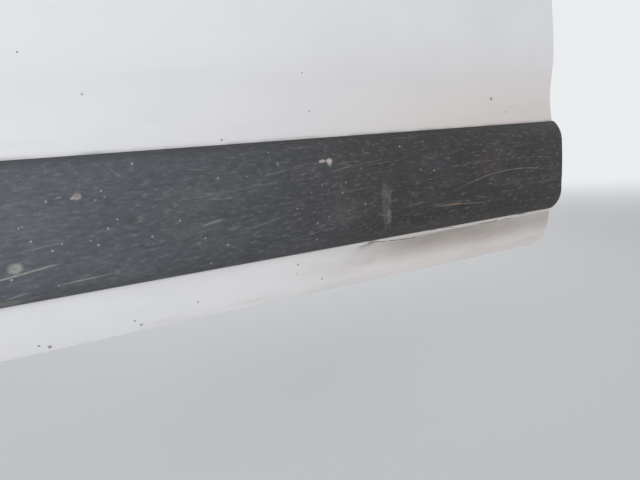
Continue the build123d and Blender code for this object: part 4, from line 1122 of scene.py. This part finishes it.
def trim_recipe(place):
    """Mid grey with shallow leather grain, pale clouds above, dark scuffs and dried splashes low down."""
    _, _, z = place.axes()
    cloud = place.noise(5, 4, 0.6).rise(0.34, 0.76)
    scuffs = place.slanted(-24, 0.10, 1, 1).noise(64, 3, 0.7, 0.5).rise(0.60, 0.76) * z.rise(0.16, -0.10)
    splash = place.noise(48, 5, 0.7).rise(0.52, 0.74) * z.rise(0.05, -0.14)
    marks = place.slanted(12, 0.05, 1, 1).noise(120, 2, 0.7, 0.4).rise(0.68, 0.80)
    base = coats(
        colour(126, 127, 130),
        (cloud, 0.45, 141, 141, 141),
        (z.rise(0.30, 0.62), 0.35, 158, 157, 153),
        (scuffs, 0.50, 66, 63, 60),
        (splash, 0.40, 150, 138, 118),
        (marks * place.noise(6, 2).rise(0.50, 0.62), 0.40, 176, 174, 170),
    )
    fine = place.noise(900, 2, 0.6).bump(0.00006)
    hide = place.cells(300, "DISTANCE_TO_EDGE").rise(0.0, 0.16).bump(0.00018, fine)
    roughness = 0.56 + cloud * 0.12 + splash * 0.12 - scuffs * 0.08
    return {"Base Color": base, "Roughness": roughness, "Normal": hide}


trim_plastic = finish_of("trim_plastic", trim_recipe)
dress(trim_plastic, "trim_panel", "sill_roll")


# Trim bead
# Rounded rib that stiffens the flat of the trim, moulded in one with it. It runs round the armrest
# and the release lever.
trim_face_y = 0.0033
bead_corners = ((-0.150, 0.187), (-0.150, 0.462), (-1.050, 0.462), (-1.050, 0.187))
bead_radius = 0.045
bead_half_width = 0.0036
bead_height = 0.0019
bead_step = 0.010


def trim_bead():
    """Half-round section with eased feet carried round a rounded rectangle on the trim's face."""
    share = np.linspace(1, -1, 13)
    rib = np.column_stack([share * bead_half_width, bead_height * (1 - share**2) ** 0.75])
    foot = [(-bead_half_width, -0.0003), (bead_half_width, -0.0003)]
    loop = rounded_loop(bead_corners, [bead_radius] * 4, bead_step)
    return carried_round(loop, trim_face_y, np.vstack([rib, foot]))


put_mesh("trim_bead", *trim_bead(), "door", "trim_grey", trim_plastic, 50)


# Screw caps
# Push-in covers over the screws that hold the trim, each a low dome with a sunk ring.
cap_places = ((-0.108, 0.430), (-0.100, -0.105), (-1.088, 0.470), (-1.090, 0.165), (-0.600, 0.150))


def screw_cap(x, z):
    """Low dome with a sunk ring round its middle."""
    profile = [(0.0105, 0.0), (0.0104, 0.0010), (0.0092, 0.0020), (0.0070, 0.0025)]
    profile += [(0.0066, 0.0020), (0.0060, 0.0020), (0.0056, 0.0025), (0.0008, 0.0028)]
    return lathe(profile, (x, trim_face_y, z), (0, 1, 0), 32)


cap_plastic_recipe = grained((104, 105, 108), (120, 120, 120), 800, 0.00006, (150, 146, 138), 0.15)
cap_plastic = finish_of("cap_plastic", cap_plastic_recipe)
caps = gathered([screw_cap(*place) for place in cap_places])
put_mesh("trim_screw_caps", *caps, "door", "trim_grey", cap_plastic, 40)


# Speaker grille, map pocket, window switch and lever bezel
# Black injection-moulded pieces with a finer grain, clipped or screwed on the trim. The latch's claw
# wears a jacket of the same plastic.
dark_plastic_recipe = grained((54, 55, 57), (74, 74, 74), 520, 0.00010, (138, 132, 120), 0.20)
dark_plastic = finish_of("dark_plastic", dark_plastic_recipe)
dress(dark_plastic, "speaker_grille", "map_pocket", "window_switch", "release_bezel", "latch_claw")


# Latch jaw
# Plastic-jacketed fork that stands open in the latch's mouth, where it would catch the pillar's striker.
jaw_x = (-1.1534, -1.1484)
jaw_z = 0.350
jaw_half_height = 0.0097
jaw_y = (-0.0487, -0.0205)
jaw_slot_radius = 0.0062
jaw_web = 0.0035
jaw_edge = 0.0005


def latch_jaw():
    """Outline of a fork with a round-ended slot, run along the door, its edges drawn in at both faces."""
    thick = jaw_x[1] - jaw_x[0]
    turns = np.linspace(math.pi / 2, 1.5 * math.pi, 15)
    middle_y = jaw_y[0] + jaw_web + jaw_slot_radius
    profiles, lines = [], []
    for shift, inset in ((0, jaw_edge), (jaw_edge, 0), (thick - jaw_edge, 0), (thick, jaw_edge)):
        slot, half = jaw_slot_radius + inset, jaw_half_height - inset
        deep, tip = jaw_y[0] + inset, jaw_y[1] - inset
        curve = [(middle_y + inset + slot * math.cos(t), jaw_z + slot * math.sin(t)) for t in turns]
        upper = [(deep, half), (tip - 0.0015, half), (tip, half - 0.0012), (tip, slot)]
        prongs = [[(y, jaw_z + side * z) for y, z in upper[::side]] for side in (1, -1)]
        profiles.append(np.array(prongs[0] + curve + prongs[1]))
        lines.append(jaw_x[0] + shift)
    points, faces = capped_run(profiles, lines)
    return points, [face[::-1] for face in faces]


put_mesh("latch_jaw", *latch_jaw(), "door", "zinc_steel", dark_plastic, 30)


# Lock knob
# Black plastic knob on the lock's rod, that stands up through a collar in the top of the sill roll.
knob_foot = (-1.030, 0.0150, 0.6348)


def lock_knob():
    """Collar, then a waisted stem that swells to a dished head, turned round an upright axis."""
    collar = [(0.0082, 0.0), (0.0082, 0.0008), (0.0074, 0.0018), (0.0060, 0.0022), (0.0048, 0.0014)]
    stem = [(0.0036, 0.0010), (0.0035, 0.0060), (0.0036, 0.0120), (0.0044, 0.0170), (0.0050, 0.0205)]
    head = [(0.0050, 0.0228), (0.0044, 0.0243), (0.0033, 0.0246), (0.0020, 0.0240), (0.0004, 0.0238)]
    return gathered([lathe(profile, knob_foot, (0, 0, 1), 40) for profile in (collar, stem + head)])


put_mesh("lock_knob", *lock_knob(), "door", "trim_black", dark_plastic, 50)


# Armrest
# Foam under a dark vinyl skin, sewn along its inboard face and worn shiny on top where the elbow
# rests.
armrest_top_z = 0.305


def vinyl_recipe(place):
    """Dark vinyl with creased leather grain, smooth and shiny on top, dull and dusty below."""
    _, _, z = place.axes()
    cloud = place.noise(12, 4, 0.6).rise(0.34, 0.76)
    worn = z.rise(armrest_top_z - 0.012, armrest_top_z) * place.noise(9, 3).rise(0.36, 0.62)
    dust = place.noise(90, 4, 0.7).rise(0.54, 0.78)
    base = coats(
        colour(58, 59, 62),
        (cloud, 0.50, 74, 74, 75),
        (worn, 0.45, 96, 93, 89),
        (dust, 0.18, 140, 132, 118),
    )
    pores = place.noise(1300, 2, 0.6).bump(0.00005)
    folds = place.cells(170, "DISTANCE_TO_EDGE").rise(0.0, 0.13).bump(0.00026, pores)
    return {"Base Color": base, "Roughness": 0.54 - worn * 0.16 + dust * 0.1, "Normal": folds}


dress(finish_of("armrest_vinyl", vinyl_recipe), "armrest")


# Armrest stitching
# A raised seam with thread laid over it in 6 mm stitches, run along the face of the armrest.
seam_x = (-0.894, -0.506)
seam_z = 0.2935
armrest_face_y = 0.0716
stitch_pitch = 0.006
stitch_radii = (0.00022, 0.00090)  # between two stitches and in the middle of one
stitch_lean = 0.0006


def stitch_row():
    """One thread of beads: a radius that swells and falls once a stitch, carried along the seam."""
    xs = np.linspace(*seam_x, int((seam_x[1] - seam_x[0]) / stitch_pitch) * 8 + 1)
    phase = (xs - xs[0]) / stitch_pitch % 1
    swell = np.sqrt(np.clip(np.sin(math.pi * np.clip(phase / 0.8, 0, 1)), 0, 1))
    radius = stitch_radii[0] + (stitch_radii[1] - stitch_radii[0]) * swell
    angle = np.linspace(0, 2 * math.pi, 8, endpoint=False)
    rings = [
        np.column_stack([armrest_face_y + r * np.cos(angle), seam_z + lean + r * np.sin(angle)])
        for r, lean in zip(radius, stitch_lean * (phase - 0.4))
    ]
    return capped_run(rings, xs)


def thread_recipe(place):
    """Grey thread twisted to the right, a little furred."""
    twist = place.slanted(38, 1, 1, 1).axes()[0]
    plies = (twist * (2 * math.pi / 0.0009)).math("SINE")
    tone = place.noise(300, 3).rise(0.3, 0.8).blend(colour(120, 120, 122), colour(146, 145, 142))
    return {"Base Color": tone, "Roughness": 0.75 + plies * 0.05, "Normal": plies.bump(0.0001)}


thread = finish_of("seam_thread", thread_recipe)
put_mesh("armrest_stitching", *stitch_row(), "door", "armrest_vinyl", thread, 60)


# Inner release lever
# Pull lever in satin silver paint, worn to the grey plastic in patches. It turns in its bezel behind
# the door's trim.


def lever_recipe(place):
    """Fine metallic flake under a satin coat, rubbed darker in patches."""
    worn = place.noise(46, 4, 0.65).rise(0.52, 0.70)
    flake = place.noise(1700, 2, 0.7).rise(0.35, 0.75)
    tone = coats(colour(150, 152, 155), (flake, 0.35, 186, 188, 190), (worn, 0.50, 112, 112, 114))
    metal, grain = 0.55 - worn * 0.4, flake.bump(0.00003)
    return {"Base Color": tone, "Metallic": metal, "Roughness": 0.36 + worn * 0.16, "Normal": grain}


dress(finish_of("lever_satin", lever_recipe), "release_lever")


# Floor, lamps and camera
# A pale floor at the height of the ground under the van, that fades into an even backdrop. One large
# soft lamp stands high beyond the door's rear edge, another lights its inner side.
floor_z = -0.648
floor_half = 40.0
floor_fade = (2.2, 7.0)  # metres from the door
sky_tint = (0.96, 0.98, 1.0)
sky_light = 0.60  # the world's strength as a light
sky_seen = 0.86  # and as the camera sees it


def in_view(signal):
    """1 for what the camera sees straight, in a gloss or through glass, 0 for what only lights."""
    rays = ("Is Camera Ray", "Is Glossy Ray", "Is Transmission Ray")
    return reduce(Signal.most, (signal.node("ShaderNodeLightPath", output=ray) for ray in rays))


def floor_recipe(place):
    """Pale grey that takes the door's shadow nearby; far off it shows the backdrop's own tone."""
    seen = in_view(place)
    fade = seen * place.stretched(1, 1, 0).vector("LENGTH", output=1).rise(*floor_fade)
    near = seen.blend(colour(236, 236, 236), colour(200, 201, 202))
    black = (0.0, 0.0, 0.0, 1.0)
    backdrop = (*(c * sky_seen for c in sky_tint), 1.0)
    return {"Base Color": fade.blend(near, black), "Emission Color": fade.blend(black, backdrop)}


floor_mesh = bpy.data.meshes.new("floor")
corners = ((-1, -1), (1, -1), (1, 1), (-1, 1))
floor_mesh.from_pydata([(x * floor_half, y * floor_half, floor_z) for x, y in corners], [], [(0, 1, 2, 3)])
floor_paint = finish_of(
    "floor_pale", floor_recipe, Roughness=0.9, Specular_IOR_Level=0.0, Emission_Strength=1.0
)
floor_mesh.materials.append(floor_paint)
floor = bpy.data.objects.new("floor", floor_mesh)
bpy.context.scene.collection.objects.link(floor)

world = bpy.data.worlds.new("studio")
bpy.context.scene.world = world
world.use_nodes = True
strength = in_view(Signal(world.node_tree, None)) * (sky_seen - sky_light) + sky_light
sky = world.node_tree.nodes["Background"]
feed(world.node_tree, sky.inputs, {"Color": (*sky_tint, 1.0), "Strength": strength})


def lamp(name, place, aim, size, watts, tint):
    """Square soft lamp that points at a spot."""
    data = bpy.data.lights.new(name, "AREA")
    data.size = size
    data.energy = watts
    data.color = tint
    made = bpy.data.objects.new(name, data)
    made.location = place
    made.visible_camera = False
    made.visible_transmission = False
    made.rotation_euler = (Vector(aim) - Vector(place)).to_track_quat("-Z", "Y").to_euler()
    bpy.context.scene.collection.objects.link(made)


lamp("lamp_high", (-2.9, -2.5, 1.1), (-0.8, 0, 0.1), 2.4, 50, (1.0, 0.99, 0.98))
lamp("lamp_inside", (0.6, 3.2, 2.4), (-0.6, 0, 0.3), 2.6, 80, (0.99, 0.99, 1.0))


camera_place = (-0.998, -0.860, 0.072)
camera_heading = math.radians(25.353)  # from +Y towards +X
camera_pitch = math.radians(10.249)  # below the level
camera_roll = math.radians(4.990)  # right side down
camera_data = bpy.data.cameras.new("camera")
camera_data.lens = 27.0
camera_data.sensor_width = 36.0
camera_data.clip_start = 0.02
camera = bpy.data.objects.new("camera", camera_data)
camera.location = camera_place
aim = Matrix.Rotation(-camera_heading, 3, "Z") @ Matrix.Rotation(math.pi / 2 - camera_pitch, 3, "X")
camera.rotation_euler = (aim @ Matrix.Rotation(-camera_roll, 3, "Z")).to_euler()
bpy.context.scene.collection.objects.link(camera)
bpy.context.scene.camera = camera
bpy.context.scene.view_settings.view_transform = "Standard"
